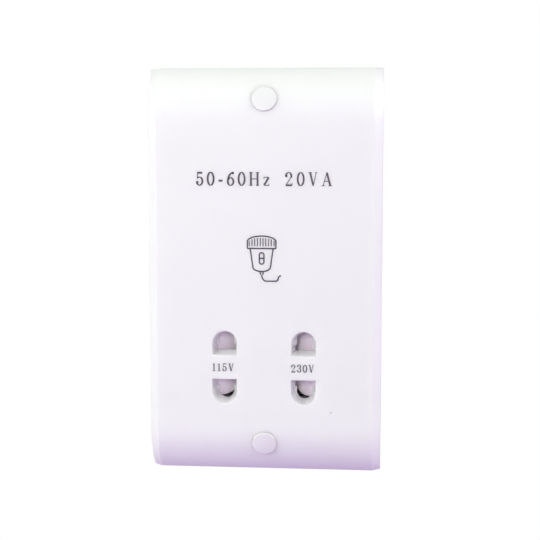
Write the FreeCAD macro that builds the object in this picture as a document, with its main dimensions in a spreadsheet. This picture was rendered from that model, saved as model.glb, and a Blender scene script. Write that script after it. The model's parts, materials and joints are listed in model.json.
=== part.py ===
import FreeCAD, Part
import math
import os
from types import SimpleNamespace

import Sketcher

# A dual-voltage shaver socket that covers a two-gang wall box, in millimetres.
# +Z is up and the front faces -Y. The wall lies on y = 0, and the origin is midway
# between the two fixing screws, whose centres are 120.6 apart with these sizes.

SIZES = {
    # Front plate
    "plate_width": 81.4,
    "plate_height": 142.0,
    "plate_depth": 10.5,
    "plate_wall": 2.8,
    "plate_side_wall": 3.6,
    "end_run": 16.75,
    "end_drop": 8.0,
    "bevel": 2.8,
    "lip_round": 0.5,
    # Fixing screws, their pillars and caps
    "fixing_inset": 10.7,
    "fixing_thread_radius": 1.75,
    "fixing_shank_radius": 1.5,
    "fixing_head_radius": 3.3,
    "fixing_head_height": 2.2,
    "fixing_seat_depth": 4.0,
    "fixing_reach": 20.0,
    "fixing_play": 0.4,
    "pillar_radius": 5.2,
    "pillar_setback": 0.5,
    "cap_radius": 4.25,
    "cap_edge": 0.8,
    "cap_rise": 1.2,
    "cap_round": 0.35,
    "cap_stem_radius": 2.9,
    "cap_stem_length": 1.6,
    "cap_seat_depth": 0.5,
    "cap_play": 0.03,
    # Outlet wells
    "slot_width": 8.8,
    "slot_length": 25.7,
    "bridge_height": 8.4,
    "well_depth": 6.8,
    "well_draft": 1.1,
    "well_floor": 1.0,
    "well_wall": 1.8,
    "arch_width": 5.4,
    "arch_reach": 11.8,
    "blade_width": 6.6,
    "blade_reach": 7.4,
    # Shutters and their springs
    "shutter_play": 0.2,
    "shutter_cover": 0.4,
    "shutter_heel": 1.7,
    "shutter_nose": 1.2,
    "shutter_high": 12.2,
    "shutter_low": 11.3,
    "shutter_round": 5.0,
    "ramp_drop": 4.0,
    "ramp_lead": 0.1,
    "spring_radius": 1.15,
    "spring_wire_radius": 0.17,
    "spring_turns": 8.0,
    "spring_bore_radius": 1.5,
    "spring_bore_depth": 3.5,
    "spring_room": 0.55,
    # Socket block, contacts and contact cover
    "block_gap": 0.3,
    "block_height": 28.8,
    "block_wall": 1.2,
    "contact_room": 7.0,
    "contact_width": 6.2,
    "contact_play": 0.3,
    "leaf": 0.6,
    "leaf_bow": 1.2,
    "jaw_inner": 4.6,
    "jaw_outer": 12.4,
    "bar_height": 2.8,
    "tag_width": 2.4,
    "tag_length": 3.0,
    "cover_thickness": 1.6,
    "block_screw_high": 3.6,
    "block_screw_low": 8.6,
    # Small self-tapping screws
    "tapper_radius": 1.2,
    "tapper_head_radius": 2.3,
    "tapper_head_height": 1.7,
    "tapper_hole_play": 0.1,
    "boss_radius": 3.2,
    "screw_slot": 0.8,
    # Rear housing
    "housing_depth": 40.0,
    "housing_wall": 2.2,
    "housing_corner": 3.0,
    "flange_side_gap": 0.7,
    "flange_end_gap": 1.1,
    "flange_side_rim": 6.4,
    "flange_end_rim": 4.0,
    "flange_thickness": 2.0,
    "flange_setback": 2.5,
    "housing_screw_inset": 10.0,
    "step_room": 4.5,
    "step_depth": 24.0,
    "vent_height": 2.0,
    "vent_pitch": 6.0,
    "vent_inner": 3.0,
    "vent_outer": 13.0,
    "vent_rise": 11.0,
    "side_vent_length": 18.0,
    # Transformer
    "core_stack": 18.0,
    "core_side_room": 5.3,
    "core_top_room": 5.8,
    "core_low_room": 6.7,
    "core_rear_room": 1.4,
    "core_screw_radius": 1.5,
    "core_screw_head_radius": 2.75,
    "core_screw_head_height": 2.0,
    "core_screw_grip": 8.0,
    "core_hole_play": 0.2,
    "core_post_radius": 4.0,
    "bobbin_play": 0.3,
    "bobbin_wall": 1.0,
    "winding_room": 0.5,
    "winding_corner": 2.0,
    "tape_thickness": 0.3,
    "cutout_width": 7.0,
    "cutout_length": 16.0,
    "cutout_thickness": 3.2,
    # Mains terminals
    "terminal_pitch": 11.0,
    "terminal_width": 6.0,
    "terminal_depth": 8.0,
    "terminal_height": 10.0,
    "terminal_play": 0.15,
    "terminal_rise": 1.5,
    "terminal_bore_radius": 1.6,
    "terminal_bore_set": 3.0,
    "terminal_screw_radius": 1.4,
    "terminal_screw_length": 2.8,
    "terminal_block_width": 37.0,
    "terminal_block_depth": 15.0,
    "terminal_block_height": 15.0,
    "terminal_floor": 2.0,
    "entry_radius": 2.1,
    "terminal_fixing_radius": 1.1,
    "terminal_fixing_head_radius": 1.9,
    "terminal_fixing_head_height": 1.4,
    "terminal_fixing_seat": 6.0,
    "terminal_boss_length": 6.0,
    # Internal leads
    "lead_radius": 0.8,
    "lead_bend": 2.0,
    "lead_run": 3.8,
    "lead_clear": 0.9,
}

UP = FreeCAD.Vector(0, 0, 1)
TURN = {
    "x": FreeCAD.Rotation(UP, FreeCAD.Vector(1, 0, 0)),
    "y": FreeCAD.Rotation(UP, FreeCAD.Vector(0, 1, 0)),
    "z": FreeCAD.Rotation(),
}
LAID = FreeCAD.Rotation(FreeCAD.Vector(1, 0, 0), 90)
PLANES = {"front": "XZ_Plane", "side": "YZ_Plane", "top": "XY_Plane"}
OVERCUT = 1.0
NEAR = 1e-6
SIDE_VENT_ROWS = (-2, -1, 0, 1, 2)

# An E lamination whose legs lie along X, in lamination units
E_OUTLINE = (
    (-1.5, -3),
    (2.5, -3),
    (2.5, 3),
    (-1.5, 3),
    (-1.5, 2),
    (1.5, 2),
    (1.5, 1),
    (-1.5, 1),
    (-1.5, -1),
    (1.5, -1),
    (1.5, -2),
    (-1.5, -2),
)

doc = FreeCAD.newDocument("shaver_socket")
nodes = []


class Size:
    """A length that carries its number and the sheet formula that drives it."""

    def __init__(self, value, formula):
        self.value = value
        self.formula = formula

    def __add__(self, other):
        other = as_size(other)
        return Size(self.value + other.value, f"({self.formula} + {other.formula})")

    def __sub__(self, other):
        other = as_size(other)
        return Size(self.value - other.value, f"({self.formula} - {other.formula})")

    def __mul__(self, other):
        other = as_size(other)
        return Size(self.value * other.value, f"({self.formula} * {other.formula})")

    def __truediv__(self, other):
        other = as_size(other)
        return Size(self.value / other.value, f"({self.formula} / {other.formula})")

    def __radd__(self, other):
        return as_size(other) + self

    def __rsub__(self, other):
        return as_size(other) - self

    def __rmul__(self, other):
        return as_size(other) * self

    def __neg__(self):
        return as_size(0) - self


def as_size(item):
    """A plain number as a Size; a Size stays as it is."""
    return item if isinstance(item, Size) else Size(float(item), f"({item})")


def root(size):
    """Square root of a Size."""
    return Size(math.sqrt(size.value), f"sqrt({size.formula})")


def make_sheet():
    """Spreadsheet of the driving dimensions, and the same dimensions as named Sizes."""
    sheet = doc.addObject("Spreadsheet::Sheet", "Sizes")
    named = {}
    for row, (name, value) in enumerate(SIZES.items(), start=1):
        sheet.set(f"A{row}", name)
        sheet.set(f"B{row}", str(value))
        sheet.setAlias(f"B{row}", name)
        named[name] = Size(value, f"Sizes.{name}")
    doc.recompute()
    return SimpleNamespace(**named)


s = make_sheet()


# Building blocks


def bind(item, **sizes):
    """Ties an object's properties to sheet formulas."""
    for name, size in sizes.items():
        item.setExpression(name, as_size(size).formula)


def place(item, x, y, z):
    """Ties an object's position to sheet formulas and leaves its turn as it is."""
    for axis, size in zip("xyz", (x, y, z)):
        item.setExpression(f"Placement.Base.{axis}", as_size(size).formula)


def keep(item, label):
    """Names a finished sub-part and puts it on the list to write."""
    item.Label = label
    nodes.append(item)
    return item


def block(x, y, z):
    """Rectangular block between two faces on each axis."""
    item = doc.addObject("Part::Box", "block")
    spans = [as_size(high) - low for low, high in (x, y, z)]
    bind(item, Length=spans[0], Width=spans[1], Height=spans[2])
    place(item, x[0], y[0], z[0])
    return item


def rod(axis, centre, reach, radius):
    """Round bar along an axis; centre holds the two other coordinates in x, y, z order."""
    item = doc.addObject("Part::Cylinder", "rod")
    item.Placement = FreeCAD.Placement(FreeCAD.Vector(), TURN[axis])
    bind(item, Radius=radius, Height=as_size(reach[1]) - reach[0])
    start = list(centre)
    start.insert("xyz".index(axis), reach[0])
    place(item, *start)
    return item


def fuse(pieces):
    """One solid from several that touch or overlap."""
    item = doc.addObject("Part::MultiFuse", "joined")
    item.Shapes = pieces
    item.Refine = True
    return item


def cut(base, tools):
    """The base less every tool."""
    item = doc.addObject("Part::Cut", "cut")
    item.Base = base
    item.Tool = tools[0] if len(tools) == 1 else fuse(tools)
    item.Refine = True
    return item


def common(pieces):
    """What all the pieces share."""
    item = doc.addObject("Part::MultiCommon", "shared")
    item.Shapes = pieces
    return item


def group(pieces):
    """Separate solids that share one node."""
    item = doc.addObject("Part::Compound", "group")
    item.Links = pieces
    return item


def fix_point(sketch, geometry, position, point, axes):
    """Dimensions a sketch point from the sketch's origin along the given axes."""
    for axis, size in zip("XY", point):
        if axis not in axes:
            continue
        size = as_size(size)
        rule = Sketcher.Constraint(f"Distance{axis}", -1, 1, geometry, position, size.value)
        index = sketch.addConstraint(rule)
        sketch.setExpression(f"Constraints[{index}]", size.formula)


def draw(body, plane, offset, corners):
    """Closed outline on one of the body's own planes, every point tied to the sheet.

    A corner is (u, v) where a straight edge leaves it, or (u, v, (cu, cv)) where an
    anticlockwise arc about (cu, cv) leaves it.
    """
    sketch = body.newObject("Sketcher::SketchObject", "outline")
    support = [item for item in body.Origin.OriginFeatures if item.Role == PLANES[plane]]
    sketch.AttachmentSupport = [(support[0], "")]
    sketch.MapMode = "FlatFace"
    sketch.setExpression("AttachmentOffset.Base.z", as_size(offset).formula)
    spots = [FreeCAD.Vector(as_size(c[0]).value, as_size(c[1]).value, 0) for c in corners]
    count = len(corners)
    for index, corner in enumerate(corners):
        start = spots[index]
        end = spots[(index + 1) % count]
        if len(corner) == 2:
            sketch.addGeometry(Part.LineSegment(start, end))
            continue
        centre = FreeCAD.Vector(as_size(corner[2][0]).value, as_size(corner[2][1]).value, 0)
        circle = Part.Circle(centre, UP, (start - centre).Length)
        angles = [math.atan2((p - centre).y, (p - centre).x) for p in (start, end)]
        sketch.addGeometry(Part.ArcOfCircle(circle, *angles))
    for index, corner in enumerate(corners):
        sketch.addConstraint(Sketcher.Constraint("Coincident", index, 2, (index + 1) % count, 1))
        before = corners[index - 1]
        axes = "XY"
        if len(before) == 3:
            aside = abs(spots[index].x - as_size(before[2][0]).value)
            along = abs(spots[index].y - as_size(before[2][1]).value)
            axes = "Y" if aside > along else "X"
        fix_point(sketch, index, 1, corner[:2], axes)
        if len(corner) == 3:
            fix_point(sketch, index, 3, corner[2], "XY")
    return sketch


def prism(plane, corners, low, high):
    """Straight-sided solid: an outline on a plane, carried from low to high."""
    body = doc.addObject("PartDesign::Body", "prism")
    sketch = draw(body, plane, -as_size(high) if plane == "front" else low, corners)
    pad = body.newObject("PartDesign::Pad", "pad")
    pad.Profile = sketch
    bind(pad, Length=as_size(high) - low)
    return body


def tapered(corners_front, corners_rear, front, rear):
    """Drafted solid between an outline at the front and a smaller one at the rear."""
    body = doc.addObject("PartDesign::Body", "tapered")
    profile = draw(body, "front", -as_size(front), corners_front)
    section = draw(body, "front", -as_size(rear), corners_rear)
    loft = body.newObject("PartDesign::AdditiveLoft", "loft")
    loft.Profile = profile
    loft.Sections = [section]
    loft.Ruled = True
    return body


def turned(corners):
    """Round solid turned about its own Z axis from a half profile of (radius, height)."""
    body = doc.addObject("PartDesign::Body", "turned")
    sketch = draw(body, "front", 0, corners)
    spin = body.newObject("PartDesign::Revolution", "spin")
    spin.Profile = sketch
    spin.ReferenceAxis = (sketch, ["V_Axis"])
    spin.Angle = 360
    return body


def rounded(u, v, radius):
    """Rectangle whose corners are quarter circles."""
    left, right = (as_size(u[0]), as_size(u[1]))
    low, high = (as_size(v[0]), as_size(v[1]))
    return [
        (left + radius, low),
        (right - radius, low, (right - radius, low + radius)),
        (right, low + radius),
        (right, high - radius, (right - radius, high - radius)),
        (right - radius, high),
        (left + radius, high, (left + radius, high - radius)),
        (left, high - radius),
        (left, low + radius, (left + radius, low + radius)),
    ]


def arch(x, z, half_width, foot, reach, upward):
    """Half-slot outline: a straight foot towards the bridge and a round far end."""
    spring = reach - half_width
    if upward:
        return [
            (x - half_width, z + foot),
            (x + half_width, z + foot),
            (x + half_width, z + spring, (x, z + spring)),
            (x - half_width, z + spring),
        ]
    return [
        (x + half_width, z - foot),
        (x - half_width, z - foot),
        (x - half_width, z - spring, (x, z - spring)),
        (x + half_width, z - spring),
    ]


def both(half):
    """Span from minus half to plus half."""
    return (-half, half)


def screw(x, z, seat, tip, radius, head_radius, head_height):
    """Slotted screw along Y whose head stands on its seat, away from the tip."""
    forward = tip.value > seat.value
    head_end = seat - head_height if forward else seat + head_height
    slot_foot = seat - head_height / 2 if forward else seat + head_height / 2
    shank = rod("y", (x, z), (seat, tip) if forward else (tip, seat), radius)
    head = rod("y", (x, z), (head_end, seat) if forward else (seat, head_end), head_radius)
    slot = block(
        (x - s.screw_slot / 2, x + s.screw_slot / 2),
        (head_end - OVERCUT, slot_foot) if forward else (slot_foot, head_end + OVERCUT),
        (z - head_radius, z + head_radius),
    )
    return cut(fuse([shank, head]), [slot])


# Places that several pieces share

front_y = -s.plate_depth
end_radius = (s.end_run * s.end_run + s.end_drop * s.end_drop) / (2 * s.end_drop)
end_centre_y = front_y + end_radius
end_centre_z = s.plate_height / 2 - s.end_run
cavity_x = s.plate_width / 2 - s.plate_side_wall
fixing_z = s.plate_height / 2 - s.fixing_inset
seat_y = -s.fixing_seat_depth

flange_x = cavity_x - s.flange_side_gap
flange_z = fixing_z - s.pillar_radius - s.flange_end_gap
flange_rear = -s.flange_setback
flange_front = flange_rear - s.flange_thickness
housing_x = flange_x - s.flange_side_rim
housing_z = flange_z - s.flange_end_rim
room_x = housing_x - s.housing_wall
room_z = housing_z - s.housing_wall
rear_wall_y = s.housing_depth - s.housing_wall
step_wall_y = s.step_depth - s.housing_wall
housing_screw_x = (housing_x + flange_x) / 2
housing_screw_z = flange_z - s.housing_screw_inset

ramp_start = s.arch_width / 2 + s.shutter_cover + s.ramp_lead
shutter_inner = s.blade_width / 2 + s.shutter_cover
shutter_outer = ramp_start + s.shutter_heel
shutter_travel = s.blade_width + s.shutter_cover
block_x = room_x - s.block_gap
chamber_outer = block_x - s.block_wall
outlet_x = chamber_outer - s.spring_room - shutter_travel - shutter_outer
outlet_z = s.block_gap + s.block_height / 2 - room_z
block_low = outlet_z - s.block_height / 2
block_high = outlet_z + s.block_height / 2
well_y = front_y + s.well_depth
bridge_foot = s.bridge_height / 2
well_foot = bridge_foot + s.well_draft

shutter_front = well_y + s.shutter_play
shutter_rear = shutter_front + s.ramp_drop + s.shutter_nose
chamber_floor = shutter_rear + s.shutter_play
spring_y = (shutter_front + shutter_rear) / 2 + s.shutter_play
contact_front = chamber_floor + s.block_wall
block_rear = contact_front + s.contact_room
cover_rear = block_rear + s.cover_thickness
leaf_rear = block_rear - s.contact_play
tag_end = cover_rear + s.tag_length

core_low = block_high + s.core_low_room
core_high = room_z - s.core_top_room
core_z = (core_low + core_high) / 2
unit_x = (room_x - s.core_side_room) * 2 / 5
unit_z = (core_high - core_low) / 6
winding_build = unit_z - s.bobbin_play - s.bobbin_wall - 2 * s.tape_thickness - s.winding_room
tube_y = s.core_stack / 2 + s.bobbin_play + s.bobbin_wall
tube_z = unit_z + s.bobbin_play + s.bobbin_wall
winding_y = tube_y + winding_build
winding_z = tube_z + winding_build
cutout_back = rear_wall_y - s.core_rear_room
cutout_front = cutout_back - s.cutout_thickness
core_y = cutout_front - s.tape_thickness - winding_y
core_front = core_y - s.core_stack / 2
core_back = core_y + s.core_stack / 2
core_hole_x = unit_x * 2
core_hole_z = unit_z * 2.5
bobbin_end = unit_x * 1.5 - s.bobbin_play
cutout_x = -bobbin_end / 2

terminal_z = s.terminal_rise + s.terminal_block_height / 2 - housing_z
step_z = terminal_z + s.terminal_block_height / 2 + s.step_room
terminal_front = s.step_depth + s.terminal_floor
terminal_back = terminal_front + s.terminal_depth
terminal_bore_y = terminal_back - s.terminal_bore_set
terminal_screw_tip = terminal_bore_y + s.terminal_bore_radius + s.terminal_play
terminal_block_back = s.step_depth + s.terminal_block_depth
terminal_fixing_seat = s.step_depth + s.terminal_fixing_seat

SIDES = {"115v": -1, "230v": 1}
ENDS = {"top": 1, "bottom": -1}
block_screw_spots = [
    (as_size(0), outlet_z + s.block_screw_high),
    (as_size(0), outlet_z - s.block_screw_low),
]
housing_screw_spots = [
    (housing_screw_x * across, housing_screw_z * up) for across in (-1, 1) for up in (-1, 1)
]
core_screw_spots = [
    (core_hole_x * across, core_z + core_hole_z * up) for across in (-1, 1) for up in (-1, 1)
]
terminal_spots = {"live": -s.terminal_pitch, "earth": as_size(0), "neutral": s.terminal_pitch}
terminal_fixing_spots = [s.terminal_pitch / 2 * across for across in (-1, 1)]


def surface_frame(item, up, lift):
    """Stands an object on the arched end at a fixing, its Z axis along the surface normal."""
    slope = (fixing_z - end_centre_z) / end_radius
    level = root(1 - slope * slope)
    height = end_radius + lift
    item.Placement = FreeCAD.Placement(FreeCAD.Vector(), LAID)
    item.setExpression("Placement.Rotation.Angle", f"90 deg - ({up}) * asin({slope.formula})")
    place(item, 0, end_centre_y - level * height, up * (end_centre_z + slope * height))


# Front plate


def outer_profile():
    """Side view of the plate, anticlockwise: flat middle, arched ends, a small round at each lip."""
    tip_z = s.plate_height / 2
    round_z = tip_z - s.lip_round
    round_reach = end_radius - s.lip_round
    rise = round_z - end_centre_z
    fall = root(round_reach * round_reach - rise * rise)
    round_y = end_centre_y - fall
    touch_y = end_centre_y - fall * end_radius / round_reach
    touch_z = end_centre_z + rise * end_radius / round_reach
    return [
        (0, -tip_z),
        (0, tip_z),
        (round_y, tip_z, (round_y, round_z)),
        (touch_y, touch_z, (end_centre_y, end_centre_z)),
        (front_y, end_centre_z),
        (front_y, -end_centre_z, (end_centre_y, -end_centre_z)),
        (touch_y, -touch_z, (round_y, -round_z)),
        (round_y, -tip_z),
    ]


def cavity_profile():
    """Side view of the hollow behind the plate, one wall inside its arched front."""
    face = front_y + s.plate_wall
    radius = end_radius - s.plate_wall
    tip_z = end_centre_z + root(radius * radius - end_centre_y * end_centre_y)
    return [
        (OVERCUT, -tip_z),
        (OVERCUT, tip_z),
        (0, tip_z, (end_centre_y, end_centre_z)),
        (face, end_centre_z),
        (face, -end_centre_z, (end_centre_y, -end_centre_z)),
        (0, -tip_z),
    ]


def leaning_side(side):
    """Bevelled long side: the plate's side view carried outwards and as far to the rear."""
    body = doc.addObject("PartDesign::Body", "leaning")
    pad = body.newObject("PartDesign::Pad", "pad")
    pad.Profile = draw(body, "side", side * (s.plate_width / 2 - s.bevel), outer_profile())
    pad.UseCustomVector = True
    pad.Direction = FreeCAD.Vector(side, 1, 0)
    pad.AlongSketchNormal = True
    bind(pad, Length=s.bevel)
    return body


def plate_form():
    """Outer form of the plate, which ends at the wall."""
    flat_x = s.plate_width / 2 - s.bevel
    pieces = [prism("side", outer_profile(), -flat_x, flat_x)]
    pieces += [leaning_side(side) for side in SIDES.values()]
    reach_x = s.plate_width / 2 + OVERCUT
    reach_z = s.plate_height / 2 + OVERCUT
    wall = block(both(reach_x), (0, s.bevel + OVERCUT), both(reach_z))
    return cut(fuse(pieces), [wall])


def outlet_cuts(x):
    """Both drafted wells of one outlet and the pin openings in their floors."""
    floor_y = well_y - s.well_floor
    cuts = []
    for upward in (True, False):
        mouth = arch(x, outlet_z, s.slot_width / 2, bridge_foot, s.slot_length / 2, upward)
        floor_half = s.slot_width / 2 - s.well_draft
        floor = arch(x, outlet_z, floor_half, well_foot, s.slot_length / 2 - s.well_draft, upward)
        cuts.append(tapered(mouth, floor, front_y, floor_y))
        opening = arch(x, outlet_z, s.arch_width / 2, well_foot, s.arch_reach, upward)
        cuts.append(prism("front", opening, floor_y - s.well_floor / 2, well_y + OVERCUT))
        blade_z = (well_foot, s.blade_reach) if upward else (-s.blade_reach, -well_foot)
        cuts.append(
            block(
                (x - s.blade_width / 2, x + s.blade_width / 2),
                (floor_y - s.well_floor / 2, well_y + OVERCUT),
                (outlet_z + blade_z[0], outlet_z + blade_z[1]),
            )
        )
    return cuts


def make_front_plate():
    """White moulding: arched shell, fixing pillars, outlet wells and screw bosses."""
    outer = plate_form()
    cavity = prism("side", cavity_profile(), -cavity_x, cavity_x)
    added = [cut(outer, [cavity])]
    removed = []
    for up in ENDS.values():
        pillar = rod("y", (0, up * fixing_z), (front_y, -s.pillar_setback), s.pillar_radius)
        added.append(common([outer, pillar]))
        hole_radius = s.fixing_thread_radius + s.fixing_play / 2
        removed.append(rod("y", (0, up * fixing_z), (front_y, OVERCUT), hole_radius))
        recess_radius = s.fixing_head_radius + s.fixing_play
        removed.append(rod("y", (0, up * fixing_z), (front_y - OVERCUT, seat_y), recess_radius))
        seat = doc.addObject("Part::Cylinder", "cap_seat")
        bind(seat, Radius=s.cap_radius + s.cap_play, Height=s.plate_depth)
        surface_frame(seat, up, -s.cap_seat_depth)
        removed.append(seat)
    inside = front_y + s.plate_wall / 2
    for side in SIDES.values():
        x = side * outlet_x
        reach_x = s.slot_width / 2 + s.well_wall
        reach_z = s.slot_length / 2 + s.well_wall
        added.append(
            block((x - reach_x, x + reach_x), (inside, well_y), (outlet_z - reach_z, outlet_z + reach_z))
        )
        removed += outlet_cuts(x)
    pilot = s.tapper_radius + s.tapper_hole_play
    for spots, rear in ((block_screw_spots, well_y), (housing_screw_spots, flange_front)):
        for spot in spots:
            added.append(rod("y", spot, (inside, rear), s.boss_radius))
            removed.append(rod("y", spot, (inside, rear + OVERCUT), pilot))
    keep(cut(fuse(added), removed), "front_plate")


def make_caps():
    """Domed cap over each fixing screw, with a short stem in the screw's recess."""
    dome = (s.cap_radius * s.cap_radius + (s.cap_rise - s.cap_edge) * (s.cap_rise - s.cap_edge)) / (
        2 * (s.cap_rise - s.cap_edge)
    )
    for name, up in ENDS.items():
        body = turned(
            [
                (0, -s.cap_stem_length),
                (s.cap_stem_radius, -s.cap_stem_length),
                (s.cap_stem_radius, 0),
                (s.cap_radius, 0),
                (s.cap_radius, s.cap_edge, (0, s.cap_rise - dome)),
                (0, s.cap_rise),
            ]
        )
        doc.recompute()
        spin = body.Tip
        rim = []
        for index, edge in enumerate(spin.Shape.Edges, start=1):
            middle = edge.BoundBox.Center
            if edge.BoundBox.ZLength < NEAR and abs(middle.z - s.cap_edge.value) < NEAR:
                rim.append(f"Edge{index}")
        fillet = body.newObject("PartDesign::Fillet", "rim")
        fillet.Base = (spin, rim)
        bind(fillet, Radius=s.cap_round)
        surface_frame(body, up, -s.cap_seat_depth)
        keep(body, f"{name}_screw_cap")


def make_fixing_screws():
    """Screws to the wall box: a slim shank inside the plate, a full thread behind it."""
    screws = []
    for up in ENDS.values():
        z = up * fixing_z
        body = screw(
            as_size(0),
            z,
            seat_y,
            as_size(0),
            s.fixing_shank_radius,
            s.fixing_head_radius,
            s.fixing_head_height,
        )
        thread = rod("y", (0, z), (0, s.fixing_reach), s.fixing_thread_radius)
        screws.append(fuse([body, thread]))
    keep(group(screws), "fixing_screws")


# Rear housing


def vent_cuts():
    """Rows of slots through the rear wall, and through both side walls beside the core."""
    cuts = []
    first_z = step_z + s.vent_rise
    top_z = room_z - s.vent_height
    rows = int((top_z - first_z).value // s.vent_pitch.value) + 1
    half = s.vent_height / 2
    through = (rear_wall_y - OVERCUT, s.housing_depth + OVERCUT)
    for row in range(rows):
        z = first_z + s.vent_pitch * row
        for side in SIDES.values():
            span = (side * s.vent_inner, side * s.vent_outer)
            span = span if side > 0 else span[::-1]
            cuts.append(block(span, through, (z - half, z + half)))
    reach_y = (core_y - s.side_vent_length / 2, core_y + s.side_vent_length / 2)
    for row in SIDE_VENT_ROWS:
        z = core_z + s.vent_pitch * row
        cuts.append(block(both(housing_x + OVERCUT), reach_y, (z - half, z + half)))
    return cuts


def make_rear_housing():
    """Deep moulded box with a mounting flange, a step for the terminals, posts and vents."""
    overlap = s.housing_wall
    main_outline = rounded(both(housing_x), both(housing_z), s.housing_corner)
    deep_outline = rounded(both(housing_x), (step_z, housing_z), s.housing_corner)
    flange_outline = rounded(both(flange_x), both(flange_z), s.housing_corner)
    main = prism("front", main_outline, (flange_front + flange_rear) / 2, s.step_depth)
    deep = prism("front", deep_outline, s.step_depth - overlap, s.housing_depth)
    flange = prism("front", flange_outline, flange_front, flange_rear)
    room = block(both(room_x), (flange_front - OVERCUT, step_wall_y), both(room_z))
    deep_room = block(
        both(room_x), (step_wall_y - OVERCUT, rear_wall_y), (step_z + s.housing_wall, room_z)
    )
    added = [cut(fuse([main, deep, flange]), [room, deep_room])]
    removed = vent_cuts()
    for spot in core_screw_spots:
        added.append(rod("y", spot, (core_back, rear_wall_y + overlap / 2), s.core_post_radius))
        removed.append(
            rod(
                "y",
                spot,
                (core_back - OVERCUT, core_back + s.core_screw_grip + s.core_hole_play),
                s.core_screw_radius + s.core_hole_play / 2,
            )
        )
    for spot in housing_screw_spots:
        removed.append(
            rod(
                "y",
                spot,
                (flange_front - OVERCUT, flange_rear + OVERCUT),
                s.tapper_radius + 2 * s.tapper_hole_play,
            )
        )
    for x in terminal_fixing_spots:
        spot = (x, terminal_z)
        boss_front = step_wall_y - s.terminal_boss_length
        boss_span = (boss_front, s.step_depth - overlap / 2)
        added.append(rod("y", spot, boss_span, s.tapper_head_radius))
        removed.append(
            rod(
                "y",
                spot,
                (boss_front + s.housing_wall / 2, s.step_depth + OVERCUT),
                s.terminal_fixing_radius + s.tapper_hole_play,
            )
        )
    for name in ("live", "neutral"):
        x = terminal_spots[name]
        half = s.tag_width / 2 + s.contact_play
        removed.append(
            block(
                (x - half, x + half),
                (step_wall_y - OVERCUT, s.step_depth + OVERCUT),
                (terminal_z - s.leaf, terminal_z + s.leaf),
            )
        )
    keep(cut(fuse(added), removed), "rear_housing")


def make_housing_screws():
    """Self-tapping screws through the flange into the plate's bosses."""
    tip = front_y + s.plate_wall / 2 + s.tapper_hole_play
    screws = [
        screw(x, z, flange_rear, tip, s.tapper_radius, s.tapper_head_radius, s.tapper_head_height)
        for x, z in housing_screw_spots
    ]
    keep(group(screws), "housing_screws")


# Socket block, shutters and contacts


def across(side, near, far):
    """X span measured outwards from one outlet's centre, in rising order."""
    ends = (side * (outlet_x + near), side * (outlet_x + far))
    return ends if side > 0 else ends[::-1]


def contact_spans():
    """The z spans of the contact rooms: above and below the outlets' centre line."""
    low = s.jaw_inner - s.contact_play
    high = s.jaw_outer + s.contact_play
    return [(outlet_z + low, outlet_z + high), (outlet_z - high, outlet_z - low)]


def make_socket_block():
    """Moulded block that guides both shutters in front and holds the contacts behind."""
    base = block(both(block_x), (well_y, block_rear), (block_low, block_high))
    removed = []
    for side in SIDES.values():
        removed.append(
            block(
                across(side, -(shutter_inner + s.shutter_play), chamber_outer - outlet_x),
                (well_y - OVERCUT, chamber_floor),
                (outlet_z - s.shutter_low - s.shutter_play, outlet_z + s.shutter_high + s.shutter_play),
            )
        )
        half = s.contact_width / 2 + s.contact_play
        for span in contact_spans():
            depth = (contact_front, block_rear + OVERCUT)
            removed.append(block(across(side, -half, half), depth, span))
        for pin_z in ((well_foot, s.arch_reach), (-s.arch_reach, -well_foot)):
            removed.append(
                block(
                    across(side, -s.blade_width / 2, s.blade_width / 2),
                    (chamber_floor - OVERCUT, contact_front + OVERCUT),
                    (outlet_z + pin_z[0], outlet_z + pin_z[1]),
                )
            )
    bar_top = outlet_z + s.jaw_outer
    removed.append(
        block(
            both(outlet_x),
            (leaf_rear - s.leaf - s.contact_play, block_rear + OVERCUT),
            (bar_top - s.bar_height - s.contact_play, bar_top + s.contact_play),
        )
    )
    through = (well_y - OVERCUT, block_rear + OVERCUT)
    for spot in block_screw_spots:
        removed.append(rod("y", spot, through, s.tapper_radius + 2 * s.tapper_hole_play))
    keep(cut(base, removed), "socket_block")


def tag_spots():
    """Where each contact's solder tag passes through the cover."""
    low = outlet_z - (s.jaw_inner + s.jaw_outer) / 2
    bar = outlet_z + s.jaw_outer - s.bar_height / 2
    return {"common": (outlet_x / 3, bar), "115v": (-outlet_x, low), "230v": (outlet_x, low)}


def make_contact_cover():
    """Plate that closes the contact rooms, with a slot for each solder tag."""
    base = block(both(block_x), (block_rear, cover_rear), (block_low, block_high))
    through = (block_rear - OVERCUT, cover_rear + OVERCUT)
    removed = []
    for x, z in tag_spots().values():
        half = s.tag_width / 2 + s.contact_play
        tall = s.leaf / 2 + s.contact_play
        removed.append(block((x - half, x + half), through, (z - tall, z + tall)))
    for spot in block_screw_spots:
        removed.append(rod("y", spot, through, s.tapper_radius + 2 * s.tapper_hole_play))
    keep(cut(base, removed), "contact_cover")
    tip = front_y + s.plate_wall / 2 + s.tapper_hole_play
    screws = [
        screw(x, z, cover_rear, tip, s.tapper_radius, s.tapper_head_radius, s.tapper_head_height)
        for x, z in block_screw_spots
    ]
    keep(group(screws), "socket_block_screws")


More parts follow.
